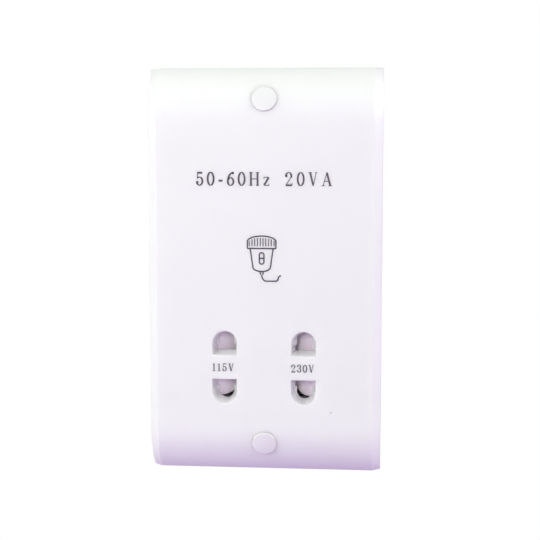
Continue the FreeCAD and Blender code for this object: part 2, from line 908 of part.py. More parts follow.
def make_shutters():
    """Ramped slide behind each outlet: a pin pushed in drives it outwards against its spring."""
    depth = (shutter_front - OVERCUT, shutter_rear + OVERCUT)
    foot_z = outlet_z - s.shutter_low
    round_x = s.shutter_round - shutter_inner
    for name, side in SIDES.items():
        profile = [
            (-shutter_inner, shutter_rear),
            (-shutter_inner, shutter_front + s.ramp_drop),
            (ramp_start, shutter_front),
            (shutter_outer, shutter_front),
            (shutter_outer, shutter_rear),
        ]
        corners = [(side * (outlet_x + u), v) for u, v in profile]
        wedge = prism("top", corners, foot_z, outlet_z + s.shutter_high)
        middle = (side * (outlet_x + round_x), foot_z + s.shutter_round)
        inner = across(side, -shutter_inner - OVERCUT, round_x)
        square = block(inner, depth, (foot_z - OVERCUT, foot_z + s.shutter_round))
        corner = cut(square, [rod("y", middle, depth, s.shutter_round)])
        bore = rod(
            "x",
            (spring_y, outlet_z),
            across(side, shutter_outer - s.spring_bore_depth, shutter_outer + OVERCUT),
            s.spring_bore_radius,
        )
        keep(cut(wedge, [bore, corner]), f"shutter_{name}")


def make_springs():
    """Coil spring from the foot of each shutter's bore to the block's outer wall."""
    for name, side in SIDES.items():
        foot, wall = across(side, shutter_outer - s.spring_bore_depth, chamber_outer - outlet_x)
        length = wall - foot - 2 * s.spring_wire_radius
        helix = doc.addObject("Part::Helix", "coil")
        bind(helix, Radius=s.spring_radius, Height=length, Pitch=length / s.spring_turns)
        ring = doc.addObject("Part::Circle", "wire")
        ring.Placement = FreeCAD.Placement(FreeCAD.Vector(), LAID)
        bind(ring, Radius=s.spring_wire_radius)
        place(ring, s.spring_radius, 0, 0)
        coil = doc.addObject("Part::Sweep", "spring")
        coil.Sections = [ring]
        coil.Spine = (helix, ["Edge1"])
        coil.Solid = True
        coil.Frenet = True
        coil.Placement = FreeCAD.Placement(FreeCAD.Vector(), TURN["x"])
        place(coil, foot + s.spring_wire_radius, spring_y, outlet_z)
        keep(coil, f"shutter_spring_{name}")


def jaw(x, up):
    """Folded brass clip that grips a pin between a straight leaf and a bowed one."""
    front = contact_front + s.contact_play
    bow_y = (front + leaf_rear) / 2
    profile = [
        (leaf_rear, s.jaw_inner),
        (leaf_rear, s.jaw_outer),
        (front, s.jaw_outer),
        (front, s.jaw_outer - s.leaf),
        (leaf_rear - s.leaf, s.jaw_outer - s.leaf),
        (leaf_rear - s.leaf, s.jaw_inner + s.leaf),
        (bow_y, s.jaw_inner + s.leaf + s.leaf_bow),
        (front, s.jaw_inner + s.leaf),
        (front, s.jaw_inner),
        (bow_y, s.jaw_inner + s.leaf_bow),
    ]
    corners = [(y, outlet_z + up * z) for y, z in profile]
    return prism("side", corners, x - s.contact_width / 2, x + s.contact_width / 2)


def tag(x, z, root_y, end_y):
    """Flat solder tag along Y."""
    half = s.tag_width / 2
    return block((x - half, x + half), (root_y, end_y), (z - s.leaf / 2, z + s.leaf / 2))


def make_contacts():
    """The common strip links both upper jaws; each lower jaw is one voltage's contact."""
    spots = tag_spots()
    bar_top = outlet_z + s.jaw_outer
    bar = block(both(outlet_x), (leaf_rear - s.leaf, leaf_rear), (bar_top - s.bar_height, bar_top))
    pieces = [jaw(side * outlet_x, 1) for side in SIDES.values()]
    pieces += [bar, tag(*spots["common"], leaf_rear - s.leaf, tag_end)]
    keep(fuse(pieces), "common_contact_strip")
    for name, side in SIDES.items():
        pieces = [jaw(side * outlet_x, -1), tag(*spots[name], leaf_rear - s.leaf, tag_end)]
        keep(fuse(pieces), f"contact_{name}")


# Transformer


def make_core():
    """E and I lamination stacks, both drilled for the core screws."""
    corners = [(unit_x * u, core_z + unit_z * v) for u, v in E_OUTLINE]
    e_stack = prism("front", corners, core_front, core_back)
    i_stack = block((unit_x * -2.5, unit_x * -1.5), (core_front, core_back), (core_low, core_high))
    radius = s.core_screw_radius + s.core_hole_play
    through = (core_front - OVERCUT, core_back + OVERCUT)
    for stack, side, label in ((e_stack, 1, "core_e_stack"), (i_stack, -1, "core_i_stack")):
        spots = [(side * core_hole_x, core_z + up * core_hole_z) for up in (-1, 1)]
        keep(cut(stack, [rod("y", spot, through, radius) for spot in spots]), label)
    screws = [
        screw(
            x,
            z,
            core_front,
            core_back + s.core_screw_grip,
            s.core_screw_radius,
            s.core_screw_head_radius,
            s.core_screw_head_height,
        )
        for x, z in core_screw_spots
    ]
    keep(group(screws), "core_screws")


def around_core(reach_y, reach_z):
    """Rectangle about the winding axis, in y and z."""
    return (core_y - reach_y, core_y + reach_y), (core_z - reach_z, core_z + reach_z)


def make_coil():
    """Split bobbin with a winding and a tape wrap in each half."""
    wall = s.bobbin_wall
    tape = s.tape_thickness
    tube = block(both(bobbin_end), *around_core(tube_y, tube_z))
    rim = rounded(*around_core(winding_y + 2 * tape, winding_z + 2 * tape), wall)
    flanges = [
        prism("side", rim, low, high)
        for low, high in (
            (-bobbin_end, wall - bobbin_end),
            (-wall / 2, wall / 2),
            (bobbin_end - wall, bobbin_end),
        )
    ]
    hole = block(both(bobbin_end + OVERCUT), *around_core(tube_y - wall, tube_z - wall))
    keep(cut(fuse([tube, *flanges]), [hole]), "bobbin")
    wound_outline = rounded(*around_core(winding_y, winding_z), s.winding_corner)
    tape_outline = rounded(*around_core(winding_y + tape, winding_z + tape), s.winding_corner + tape)
    halves = {"primary": (wall - bobbin_end, -wall / 2), "secondary": (wall / 2, bobbin_end - wall)}
    for name, (low, high) in halves.items():
        through = (low - OVERCUT, high + OVERCUT)
        wound = prism("side", wound_outline, low, high)
        keep(cut(wound, [block(through, *around_core(tube_y, tube_z))]), f"{name}_winding")
        wrap = prism("side", tape_outline, low, high)
        keep(cut(wrap, [prism("side", wound_outline, *through)]), f"{name}_tape")


def make_thermal_cutout():
    """Flat cut-out laid on the back of the primary winding's tape."""
    half_x = s.cutout_width / 2
    half_z = s.cutout_length / 2
    spans = (cutout_x - half_x, cutout_x + half_x), (core_z - half_z, core_z + half_z)
    keep(prism("front", rounded(*spans, s.bobbin_wall), cutout_front, cutout_back), "thermal_cutout")


# Mains terminals


def make_terminals():
    """Terminal block in the housing's step, with a brass terminal and screw for each conductor."""
    half_z = s.terminal_block_height / 2
    half_width = s.terminal_width / 2
    half_height = s.terminal_height / 2
    play = s.terminal_play
    base = block(
        both(s.terminal_block_width / 2),
        (s.step_depth, terminal_block_back),
        (terminal_z - half_z, terminal_z + half_z),
    )
    removed = []
    screws = []
    cable_entry = (terminal_z - half_z - OVERCUT, terminal_z)
    screw_entry = (terminal_bore_y, terminal_block_back + OVERCUT)
    for name, x in terminal_spots.items():
        removed.append(
            block(
                (x - half_width - play, x + half_width + play),
                (s.step_depth - OVERCUT, terminal_back),
                (terminal_z - half_height - play, terminal_z + half_height + play),
            )
        )
        removed.append(rod("z", (x, terminal_bore_y), cable_entry, s.entry_radius))
        removed.append(rod("y", (x, terminal_z), screw_entry, s.entry_radius))
        brass = block(
            (x - half_width, x + half_width),
            (terminal_front, terminal_back),
            (terminal_z - half_height, terminal_z + half_height),
        )
        wire_bore = rod(
            "z",
            (x, terminal_bore_y),
            (terminal_z - half_height - OVERCUT, terminal_z + half_height + OVERCUT),
            s.terminal_bore_radius,
        )
        screw_hole = rod(
            "y",
            (x, terminal_z),
            (terminal_bore_y, terminal_back + OVERCUT),
            s.terminal_screw_radius + s.tapper_hole_play,
        )
        if name != "earth":
            tail = tag(x, terminal_z, step_wall_y - s.tag_length, terminal_front + s.leaf)
            brass = fuse([brass, tail])
        keep(cut(brass, [wire_bore, screw_hole]), f"{name}_terminal")
        screws.append(
            screw(
                x,
                terminal_z,
                terminal_screw_tip + s.terminal_screw_length,
                terminal_screw_tip,
                s.terminal_screw_radius,
                s.terminal_fixing_head_radius,
                s.terminal_fixing_head_height,
            )
        )
    keep(group(screws), "terminal_screws")
    for x in terminal_fixing_spots:
        spot = (x, terminal_z)
        removed.append(
            rod(
                "y",
                spot,
                (s.step_depth - OVERCUT, terminal_fixing_seat + OVERCUT),
                s.terminal_fixing_radius + s.tapper_hole_play,
            )
        )
        removed.append(
            rod(
                "y",
                spot,
                (terminal_fixing_seat, terminal_block_back + OVERCUT),
                s.terminal_fixing_head_radius + s.tapper_hole_play,
            )
        )
    keep(cut(base, removed), "terminal_block")
    fixings = [
        screw(
            x,
            terminal_z,
            terminal_fixing_seat,
            step_wall_y - s.terminal_boss_length / 2,
            s.terminal_fixing_radius,
            s.terminal_fixing_head_radius,
            s.terminal_fixing_head_height,
        )
        for x in terminal_fixing_spots
    ]
    keep(group(fixings), "terminal_block_screws")


# Internal leads


def make_lead(label, points):
    """Insulated wire along straight runs joined by tangent arcs."""
    spots = [FreeCAD.Vector(*(as_size(c).value for c in point)) for point in points]
    bend = s.lead_bend.value
    edges = []
    start = spots[0]
    for before, corner, after in zip(spots, spots[1:], spots[2:]):
        come = (corner - before).normalize()
        go = (after - corner).normalize()
        half_turn = come.getAngle(go) / 2
        setback = bend * math.tan(half_turn)
        entry = corner - come * setback
        leave = corner + go * setback
        inward = (go - come).normalize()
        middle = corner + inward * (bend / math.cos(half_turn) - bend)
        edges.append(Part.LineSegment(start, entry).toShape())
        edges.append(Part.Arc(entry, middle, leave).toShape())
        start = leave
    edges.append(Part.LineSegment(start, spots[-1]).toShape())
    path = Part.Wire(edges)
    circle = Part.Circle(spots[0], spots[1] - spots[0], s.lead_radius.value)
    profile = Part.Wire([circle.toShape()])
    item = doc.addObject("Part::Feature", "lead")
    item.Shape = path.makePipeShell([profile], True, False)
    item.Placement = FreeCAD.Placement()
    keep(item, label)


def make_leads():
    """Wires from the mains terminals to the primary, and from the secondary to the contacts."""
    tape_low = core_z - winding_z - s.tape_thickness
    tape_high = core_z + winding_z + s.tape_thickness
    room = s.lead_radius + s.lead_clear
    behind = (tag_end + step_wall_y) / 2
    before_core = core_front - 2 * room
    spots = tag_spots()
    common_x = spots["common"][0]
    levels = {
        "common": block_high + room,
        "115v": core_low - room,
        "230v": (core_low + block_high) / 2,
    }
    pitch = (bobbin_end - s.bobbin_wall - common_x) / len(levels)
    for step, name in enumerate(levels):
        x, z = spots[name]
        end_x = common_x + pitch * step
        level = levels[name]
        route = [(x, tag_end, z), (x, behind, z)]
        if name == "115v":
            route.append((x, behind, level))
        route += [(end_x, behind, level), (end_x, before_core, level), (end_x, before_core, tape_low)]
        make_lead(f"lead_{name}", route)

    tag_y = step_wall_y - s.tag_length
    near_y = (cover_rear + tag_y) / 2
    over_y = core_back + 2 * room
    turn_z = step_z + s.housing_wall + 3 * room
    cutout_y = (cutout_front + cutout_back) / 2
    cutout_half = s.cutout_length / 2
    live_x = terminal_spots["live"]
    make_lead(
        "lead_live",
        [
            (live_x, tag_y, terminal_z),
            (live_x, near_y, terminal_z),
            (live_x, near_y, turn_z),
            (live_x, cutout_y, turn_z),
            (cutout_x, cutout_y, core_low),
            (cutout_x, cutout_y, core_z - cutout_half),
        ],
    )
    make_lead(
        "lead_cutout",
        [
            (cutout_x, cutout_y, core_z + cutout_half),
            (cutout_x, cutout_y, tape_high + s.lead_run),
            (cutout_x, over_y, tape_high + s.lead_run),
            (cutout_x, over_y, tape_high),
        ],
    )
    neutral_x = terminal_spots["neutral"]
    neutral_end = cutout_x / 2
    make_lead(
        "lead_neutral",
        [
            (neutral_x, tag_y, terminal_z),
            (neutral_x, near_y, terminal_z),
            (neutral_x, near_y, outlet_z),
            (neutral_end, near_y, turn_z),
            (neutral_end, over_y, turn_z),
            (neutral_end, over_y, tape_low),
        ],
    )


make_front_plate()
make_caps()
make_fixing_screws()
make_rear_housing()
make_housing_screws()
make_socket_block()
make_contact_cover()
make_shutters()
make_springs()
make_contacts()
make_core()
make_coil()
make_thermal_cutout()
make_terminals()
make_leads()

doc.recompute()
for item in doc.Objects:
    if "Invalid" in item.State or "Error" in item.State:
        raise RuntimeError(f"{item.Label} failed: {item.State}")
for item in nodes:
    if item.Shape.isNull() or not item.Shape.isValid():
        raise RuntimeError(f"{item.Label} has no valid shape")

os.makedirs("parts", exist_ok=True)
for item in nodes:
    item.Shape.exportStep(os.path.join("parts", f"{item.Label}.step"))
    print(item.Label, len(item.Shape.Solids), round(item.Shape.Volume, 1))
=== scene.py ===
"""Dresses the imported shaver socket: print, springs, screws, finishes, light and camera."""

import json
import logging
import math
from collections.abc import Iterable
from dataclasses import asdict, dataclass
from enum import Enum

import bpy
from mathutils import Matrix, Vector


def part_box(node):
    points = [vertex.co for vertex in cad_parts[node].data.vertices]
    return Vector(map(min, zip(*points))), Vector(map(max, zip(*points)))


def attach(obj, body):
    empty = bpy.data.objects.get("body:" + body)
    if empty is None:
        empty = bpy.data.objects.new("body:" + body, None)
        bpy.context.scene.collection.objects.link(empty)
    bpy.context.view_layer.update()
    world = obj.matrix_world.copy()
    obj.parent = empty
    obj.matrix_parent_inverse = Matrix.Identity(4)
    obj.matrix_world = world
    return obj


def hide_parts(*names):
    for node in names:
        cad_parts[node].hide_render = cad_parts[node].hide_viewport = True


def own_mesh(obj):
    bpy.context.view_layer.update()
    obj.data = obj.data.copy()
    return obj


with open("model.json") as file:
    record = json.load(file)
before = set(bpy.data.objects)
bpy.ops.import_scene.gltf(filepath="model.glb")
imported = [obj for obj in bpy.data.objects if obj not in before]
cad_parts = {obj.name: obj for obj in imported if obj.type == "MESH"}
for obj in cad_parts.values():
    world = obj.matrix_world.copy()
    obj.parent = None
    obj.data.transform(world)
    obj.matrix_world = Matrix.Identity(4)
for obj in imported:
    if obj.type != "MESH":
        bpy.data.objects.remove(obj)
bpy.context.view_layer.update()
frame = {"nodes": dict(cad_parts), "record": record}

MM = 0.001
LOG = logging.getLogger("shaver_socket")

Colour = tuple[float, float, float]
Spot = tuple[float, float]
Place = tuple[float, float, float]
PenPath = list[tuple[float, float, float]]

WHITE: Colour = (1.0, 1.0, 1.0)
WHOLE: Spot = (0.0, 1.0)
CLOUD_BAND: Spot = (0.35, 0.65)
GRAIN_BAND: Spot = (0.3, 0.7)
LINE_BAND: Spot = (0.0, 0.2)
DRIFT_RATE = 0.2
THREAD_STEPS = 24
RIDGE_SIDES = 4

FLOAT = "NodeSocketFloat"
COLOUR = "NodeSocketColor"
VECTOR = "NodeSocketVector"
GEOMETRY = "NodeSocketGeometry"
MATERIAL = "NodeSocketMaterial"


class Slot(Enum):
    """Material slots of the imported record."""

    PLATE = "plate_white"
    CAP = "cap_white"
    HOUSING = "housing_white"
    BLOCK = "block_plastic"
    SHUTTER = "shutter_grey"
    SCREW = "screw_steel"
    SPRING = "spring_steel"
    BRASS = "contact_brass"
    CORE = "core_steel"
    BOBBIN = "bobbin_nylon"
    WINDING = "winding_copper"
    TAPE = "tape_yellow"
    CUTOUT = "cutout_dark"
    BROWN_LEAD = "lead_brown"
    BLUE_LEAD = "lead_blue"
    BLACK_LEAD = "lead_black"
    YELLOW_LEAD = "lead_yellow"
    RED_LEAD = "lead_red"


class Outlet(Enum):
    """The two outlets, by the voltage that names their pieces."""

    LOW = "115v"
    HIGH = "230v"

    @property
    def side(self) -> int:
        """Which way along X the outlet's shutter slides open."""
        return -1 if self is Outlet.LOW else 1


class Nib(Enum):
    """How wide a pen stroke is: full, fine, or full only where it runs upright."""

    STEM = "stem"
    HAIR = "hair"
    STRESSED = "stressed"

    def share(self, steep: float) -> float:
        """Gives how much of its full width a stroke has where it is this steep."""
        return {Nib.STEM: 1.0, Nib.HAIR: 0.0, Nib.STRESSED: steep}[self]


class Tip(Enum):
    """Which way along Y a screw's tip points."""

    TO_WALL = 1
    TO_FRONT = -1


class Graph:
    """A node tree with short calls that add nodes and join their sockets."""

    def __init__(self, tree: bpy.types.NodeTree) -> None:
        """Keeps the tree that the calls work on."""
        self.tree = tree

    def add(self, kind: str, inputs: dict | None = None, **settings: object) -> bpy.types.Node:
        """Adds a node.

        Args:
            kind: Blender's name of the node type.
            inputs: socket name or index, with a value or an output socket to link.
            settings: properties of the node itself.

        Returns:
            The new node.
        """
        node = self.tree.nodes.new(kind)
        for name, value in settings.items():
            setattr(node, name, value)
        for name, value in (inputs or {}).items():
            if isinstance(value, bpy.types.NodeSocket):
                self.tree.links.new(value, node.inputs[name])
            else:
                node.inputs[name].default_value = value
        return node

    def math(self, operation: str, first: object, second: object = 0.0) -> bpy.types.NodeSocket:
        """Adds a Math node.

        Args:
            operation: Blender's name of the operation.
            first: a number or an output socket.
            second: a number or an output socket.

        Returns:
            The result's socket.
        """
        return self.add("ShaderNodeMath", {0: first, 1: second}, operation=operation).outputs[0]

    def blend(self, share: object, low: object, high: object) -> bpy.types.NodeSocket:
        """Adds a colour mix.

        Args:
            share: how much of the high colour shows, as a number or socket.
            low: colour or socket at share 0.
            high: colour or socket at share 1.

        Returns:
            The mixed colour's socket.
        """
        ends = {0: share, 6: opaque(low), 7: opaque(high)}
        return self.add("ShaderNodeMix", ends, data_type="RGBA").outputs[2]

    def span(self, value: object, source: Spot, target: tuple) -> bpy.types.NodeSocket:
        """Adds a clamped Map Range.

        Args:
            value: the socket to map.
            source: its lowest and highest value.
            target: what those become, as numbers or sockets.

        Returns:
            The mapped value's socket.
        """
        ends = {0: value, 1: source[0], 2: source[1], 3: target[0], 4: target[1]}
        return self.add("ShaderNodeMapRange", ends).outputs[0]


def opaque(colour: object) -> object:
    """Gives a plain colour its alpha and leaves a socket as it is."""
    return (*colour, 1.0) if isinstance(colour, tuple) else colour


def open_group(name: str, kind: str, inputs: dict[str, str], outputs: dict[str, str]) -> tuple:
    """Starts a node group with named sockets.

    Args:
        name: the group's name.
        kind: Blender's name of the tree type.
        inputs: socket names with their types.
        outputs: socket names with their types.

    Returns:
        The graph, the group's input node and its output node.
    """
    tree = bpy.data.node_groups.new(name, kind)
    for label, socket in inputs.items():
        tree.interface.new_socket(label, in_out="INPUT", socket_type=socket)
    for label, socket in outputs.items():
        tree.interface.new_socket(label, in_out="OUTPUT", socket_type=socket)
    graph = Graph(tree)
    return graph, graph.add("NodeGroupInput"), graph.add("NodeGroupOutput")


def shared_group(name: str) -> bpy.types.NodeTree:
    """Gives a shader group by name and builds it at first use.

    Args:
        name: one of the names in GROUP_MAKERS.

    Returns:
        The group's tree.
    """
    return bpy.data.node_groups.get(name) or GROUP_MAKERS[name](name)


def make_skin_group(name: str) -> bpy.types.NodeTree:
    """Builds the moulded skin: a clouded tone, a fine grain and the gloss that goes with it.

    Args:
        name: the group's name.

    Returns:
        The group's tree.
    """
    inputs = dict.fromkeys(("Tone", "Shade"), COLOUR)
    inputs |= dict.fromkeys(("Cloud Size", "Grain Size", "Smooth", "Rough"), FLOAT)
    outputs = {"Colour": COLOUR, "Roughness": FLOAT, "Height": FLOAT}
    graph, given, result = open_group(name, "ShaderNodeTree", inputs, outputs)
    place = graph.add("ShaderNodeTexCoord").outputs["Object"]
    noise = []
    for size, detail in (("Cloud Size", 2.0), ("Grain Size", 3.0)):
        scale = graph.math("DIVIDE", 1.0, given.outputs[size])
        texture = {"Vector": place, "Scale": scale, "Detail": detail}
        noise.append(graph.add("ShaderNodeTexNoise", texture).outputs["Fac"])
    clouds, grain = noise
    cloudy = graph.span(clouds, CLOUD_BAND, WHOLE)
    tone = graph.blend(cloudy, given.outputs["Tone"], given.outputs["Shade"])
    gloss = graph.span(grain, GRAIN_BAND, (given.outputs["Smooth"], given.outputs["Rough"]))
    for label, socket in (("Colour", tone), ("Roughness", gloss), ("Height", grain)):
        graph.tree.links.new(socket, result.inputs[label])
    return graph.tree


def make_lines_group(name: str) -> bpy.types.NodeTree:
    """Builds parallel lines, as stacked sheets, wound turns and drawn wire show them.

    Args:
        name: the group's name.

    Returns:
        The group's tree.
    """
    inputs = {"Tone": COLOUR, "Line": COLOUR, "Across": VECTOR, "Spacing": FLOAT, "Waver": FLOAT}
    outputs = {"Colour": COLOUR, "Height": FLOAT}
    graph, given, result = open_group(name, "ShaderNodeTree", inputs, outputs)
    place = graph.add("ShaderNodeTexCoord").outputs["Object"]
    along = graph.add(
        "ShaderNodeVectorMath",
        {0: place, 1: given.outputs["Across"]},
        operation="DOT_PRODUCT",
    ).outputs["Value"]
    scale = graph.math("DIVIDE", DRIFT_RATE, given.outputs["Spacing"])
    drift = graph.add("ShaderNodeTexNoise", {"Vector": place, "Scale": scale}).outputs["Fac"]
    shift = graph.math("MULTIPLY", drift, given.outputs["Waver"])
    turns = graph.math("ADD", graph.math("DIVIDE", along, given.outputs["Spacing"]), shift)
    ridge = graph.math("PINGPONG", turns, 0.5)
    height = graph.span(ridge, LINE_BAND, WHOLE)
    tone = graph.blend(height, given.outputs["Line"], given.outputs["Tone"])
    for label, socket in (("Colour", tone), ("Height", height)):
        graph.tree.links.new(socket, result.inputs[label])
    return graph.tree


GROUP_MAKERS = {"moulded_skin": make_skin_group, "parallel_lines": make_lines_group}


def start_material(name: str) -> tuple[bpy.types.Material, Graph, bpy.types.Node]:
    """Makes a material with its shader.

    Args:
        name: the material's name.

    Returns:
        The material, its graph and its Principled shader.
    """
    material = bpy.data.materials.new(name)
    material.use_nodes = True
    graph = Graph(material.node_tree)
    return material, graph, material.node_tree.nodes["Principled BSDF"]


def soft_normal(
    graph: Graph,
    height: bpy.types.NodeSocket,
    relief_mm: float,
    edge_mm: float,
) -> bpy.types.NodeSocket:
    """Rounds a surface's edges and lays its relief over them.

    Args:
        graph: the material's graph.
        height: the relief's height, 0 to 1.
        relief_mm: how deep the relief is.
        edge_mm: radius of the rounded edges.

    Returns:
        The normal's socket.
    """
    edge = graph.add("ShaderNodeBevel", {"Radius": edge_mm * MM}, samples=4)
    relief = {"Height": height, "Distance": relief_mm * MM, "Normal": edge.outputs["Normal"]}
    return graph.add("ShaderNodeBump", relief).outputs["Normal"]


@dataclass(frozen=True)
class Moulding:
    """Moulded plastic: a clouded tone, a fine skin and soft edges."""

    name: str
    tone: Colour
    shade: Colour
    smooth: float
    rough: float
    cloud_mm: float = 16.0
    grain_mm: float = 0.6
    relief_mm: float = 0.01
    edge_mm: float = 0.2
    coat: float = 0.0
    glow: float = 0.0
    glow_mm: float = 2.0

    def material(self) -> bpy.types.Material:
        """Builds the material.

        Returns:
            The material.
        """
        material, graph, shader = start_material(self.name)
        values = {
            "Tone": opaque(self.tone),
            "Shade": opaque(self.shade),
            "Cloud Size": self.cloud_mm * MM,
            "Grain Size": self.grain_mm * MM,
            "Smooth": self.smooth,
            "Rough": self.rough,
        }
        skin = graph.add("ShaderNodeGroup", values, node_tree=shared_group("moulded_skin"))
        normal = soft_normal(graph, skin.outputs["Height"], self.relief_mm, self.edge_mm)
        graph.tree.links.new(skin.outputs["Colour"], shader.inputs["Base Color"])
        graph.tree.links.new(skin.outputs["Roughness"], shader.inputs["Roughness"])
        graph.tree.links.new(normal, shader.inputs["Normal"])
        shader.inputs["Coat Weight"].default_value = self.coat
        shader.inputs["Coat Roughness"].default_value = self.smooth / 2
        shader.inputs["Subsurface Weight"].default_value = self.glow
        shader.inputs["Subsurface Radius"].default_value = (1.0, 1.0, 1.0)
        shader.inputs["Subsurface Scale"].default_value = self.glow_mm * MM
        return material


@dataclass(frozen=True)
class Metal:
    """Plated or bare metal with clouded plating and a fine grain."""

    name: str
    tone: Colour
    shade: Colour
    smooth: float
    rough: float
    cloud_mm: float = 2.5
    grain_mm: float = 0.15
    relief_mm: float = 0.004
    edge_mm: float = 0.1

    def material(self) -> bpy.types.Material:
        """Builds the material from the moulded one, with a metal shader.

        Returns:
            The material.
        """
        material = Moulding(**asdict(self)).material()
        material.node_tree.nodes["Principled BSDF"].inputs["Metallic"].default_value = 1.0
        return material


@dataclass(frozen=True)
class Lined:
    """A surface of parallel lines: stacked sheet steel, wound wire or wrapped tape."""

    name: str
    tone: Colour
    line: Colour
    across: Place
    spacing_mm: float
    relief_mm: float
    roughness: float
    metallic: float = 0.0
    waver: float = 0.3
    edge_mm: float = 0.1

    def material(self) -> bpy.types.Material:
        """Builds the material.

        Returns:
            The material.
        """
        material, graph, shader = start_material(self.name)
        values = {
            "Tone": opaque(self.tone),
            "Line": opaque(self.line),
            "Across": self.across,
            "Spacing": self.spacing_mm * MM,
            "Waver": self.waver,
        }
        lines = graph.add("ShaderNodeGroup", values, node_tree=shared_group("parallel_lines"))
        normal = soft_normal(graph, lines.outputs["Height"], self.relief_mm, self.edge_mm)
        graph.tree.links.new(lines.outputs["Colour"], shader.inputs["Base Color"])
        graph.tree.links.new(normal, shader.inputs["Normal"])
        shader.inputs["Roughness"].default_value = self.roughness
        shader.inputs["Metallic"].default_value = self.metallic
        return material


def insulation(colour: str, tone: Colour, shade: Colour) -> Moulding:
    """Gives the finish of a lead's insulation."""
    name = f"{colour}_insulation"
    return Moulding(name, tone, shade, smooth=0.34, rough=0.46, cloud_mm=6.0, grain_mm=0.4)


FINISHES = {
    Slot.PLATE: Moulding(
        "polished_white",
        tone=(0.93, 0.93, 0.925),
        shade=(0.92, 0.918, 0.915),
        smooth=0.24,
        rough=0.25,
        cloud_mm=30.0,
        grain_mm=3.0,
        relief_mm=0.0012,
        edge_mm=0.35,
        coat=0.25,
        glow=0.8,
    ),
    # Tones a little below the plate's: painted shade, which holds the cap down where the high lamp
    # lights it more than the plate around it.
    Slot.CAP: Moulding(
        "polished_cap_white",
        tone=(0.90, 0.895, 0.90),
        shade=(0.89, 0.88, 0.895),
        smooth=0.24,
        rough=0.26,
        cloud_mm=5.0,
        grain_mm=2.0,
        relief_mm=0.003,
        edge_mm=0.15,
        coat=0.25,
        glow=0.2,
    ),
    Slot.HOUSING: Moulding(
        "eroded_housing_white",
        tone=(0.80, 0.79, 0.80),
        shade=(0.75, 0.735, 0.75),
        smooth=0.46,
        rough=0.60,
        cloud_mm=22.0,
        grain_mm=0.35,
        relief_mm=0.02,
        edge_mm=0.3,
    ),
    # Near-black tone: painted shade, which makes the chamber behind the shutters show as a dark gap.
    Slot.BLOCK: Moulding(
        "block_black",
        tone=(0.030, 0.027, 0.030),
        shade=(0.022, 0.020, 0.022),
        smooth=0.36,
        rough=0.50,
        grain_mm=0.3,
        relief_mm=0.015,
    ),
    # Pale plastic with a lilac cast: the lilac is painted shade, the tint the shutters take deep in
    # their wells.
    Slot.SHUTTER: Moulding(
        "shutter_grey",
        tone=(0.97, 0.83, 0.98),
        shade=(0.94, 0.79, 0.95),
        smooth=0.36,
        rough=0.46,
        cloud_mm=4.0,
        grain_mm=0.3,
        relief_mm=0.006,
        edge_mm=0.15,
    ),
    Slot.SCREW: Metal(
        "zinc_screw",
        tone=(0.66, 0.66, 0.64),
        shade=(0.52, 0.53, 0.54),
        smooth=0.26,
        rough=0.42,
    ),
    Slot.SPRING: Metal(
        "spring_wire",
        tone=(0.56, 0.56, 0.57),
        shade=(0.44, 0.44, 0.46),
        smooth=0.22,
        rough=0.36,
    ),
    Slot.BRASS: Metal(
        "pressed_brass",
        tone=(0.78, 0.58, 0.28),
        shade=(0.64, 0.45, 0.20),
        smooth=0.24,
        rough=0.42,
        cloud_mm=3.5,
    ),
    Slot.CORE: Lined(
        "core_sheets",
        tone=(0.34, 0.33, 0.33),
        line=(0.10, 0.095, 0.095),
        across=(0.0, 1.0, 0.0),
        spacing_mm=0.5,
        relief_mm=0.05,
        roughness=0.42,
        metallic=1.0,
    ),
    Slot.BOBBIN: Moulding(
        "bobbin_nylon",
        tone=(0.62, 0.60, 0.54),
        shade=(0.56, 0.53, 0.47),
        smooth=0.40,
        rough=0.52,
        grain_mm=0.4,
    ),
    Slot.WINDING: Lined(
        "enamelled_copper",
        tone=(0.62, 0.25, 0.11),
        line=(0.20, 0.06, 0.025),
        across=(1.0, 0.0, 0.0),
        spacing_mm=0.3,
        relief_mm=0.08,
        roughness=0.28,
        metallic=0.8,
        waver=0.5,
    ),
    Slot.TAPE: Lined(
        "winding_tape",
        tone=(0.80, 0.60, 0.09),
        line=(0.72, 0.52, 0.06),
        across=(0.9, 0.0, 0.44),
        spacing_mm=1.1,
        relief_mm=0.02,
        roughness=0.30,
        waver=0.8,
    ),
    Slot.CUTOUT: Moulding(
        "cutout_case",
        tone=(0.045, 0.045, 0.05),
        shade=(0.03, 0.03, 0.034),
        smooth=0.34,
        rough=0.48,
        cloud_mm=5.0,
        grain_mm=0.3,
    ),
    Slot.BROWN_LEAD: insulation("brown", (0.19, 0.075, 0.03), (0.15, 0.06, 0.025)),
    Slot.BLUE_LEAD: insulation("blue", (0.03, 0.12, 0.48), (0.025, 0.10, 0.40)),
    Slot.BLACK_LEAD: insulation("black", (0.03, 0.03, 0.033), (0.02, 0.02, 0.023)),
    Slot.YELLOW_LEAD: insulation("yellow", (0.75, 0.55, 0.05), (0.66, 0.47, 0.04)),
    Slot.RED_LEAD: insulation("red", (0.52, 0.035, 0.03), (0.43, 0.03, 0.025)),
}

PRINT_INK = Moulding(
    "print_ink",
    tone=(0.085, 0.062, 0.095),
    shade=(0.115, 0.088, 0.125),
    smooth=0.42,
    rough=0.56,
    cloud_mm=1.2,
    grain_mm=0.12,
    relief_mm=0.002,
    edge_mm=0.02,
)


class Finishes:
    """Hands out one material for each finish, made at first use."""

    def __init__(self) -> None:
        """Starts with no materials made."""
        self.made: dict[str, bpy.types.Material] = {}

    def of(self, finish: Moulding | Metal | Lined) -> bpy.types.Material:
        """Gives a finish's material.

        Args:
            finish: the finish.

        Returns:
            The material that every piece of that finish shares.
        """
        if finish.name not in self.made:
            self.made[finish.name] = finish.material()
        return self.made[finish.name]

    def of_slot(self, slot: Slot) -> bpy.types.Material:
        """Gives the material of a slot of the record."""
        return self.of(FINISHES[slot])


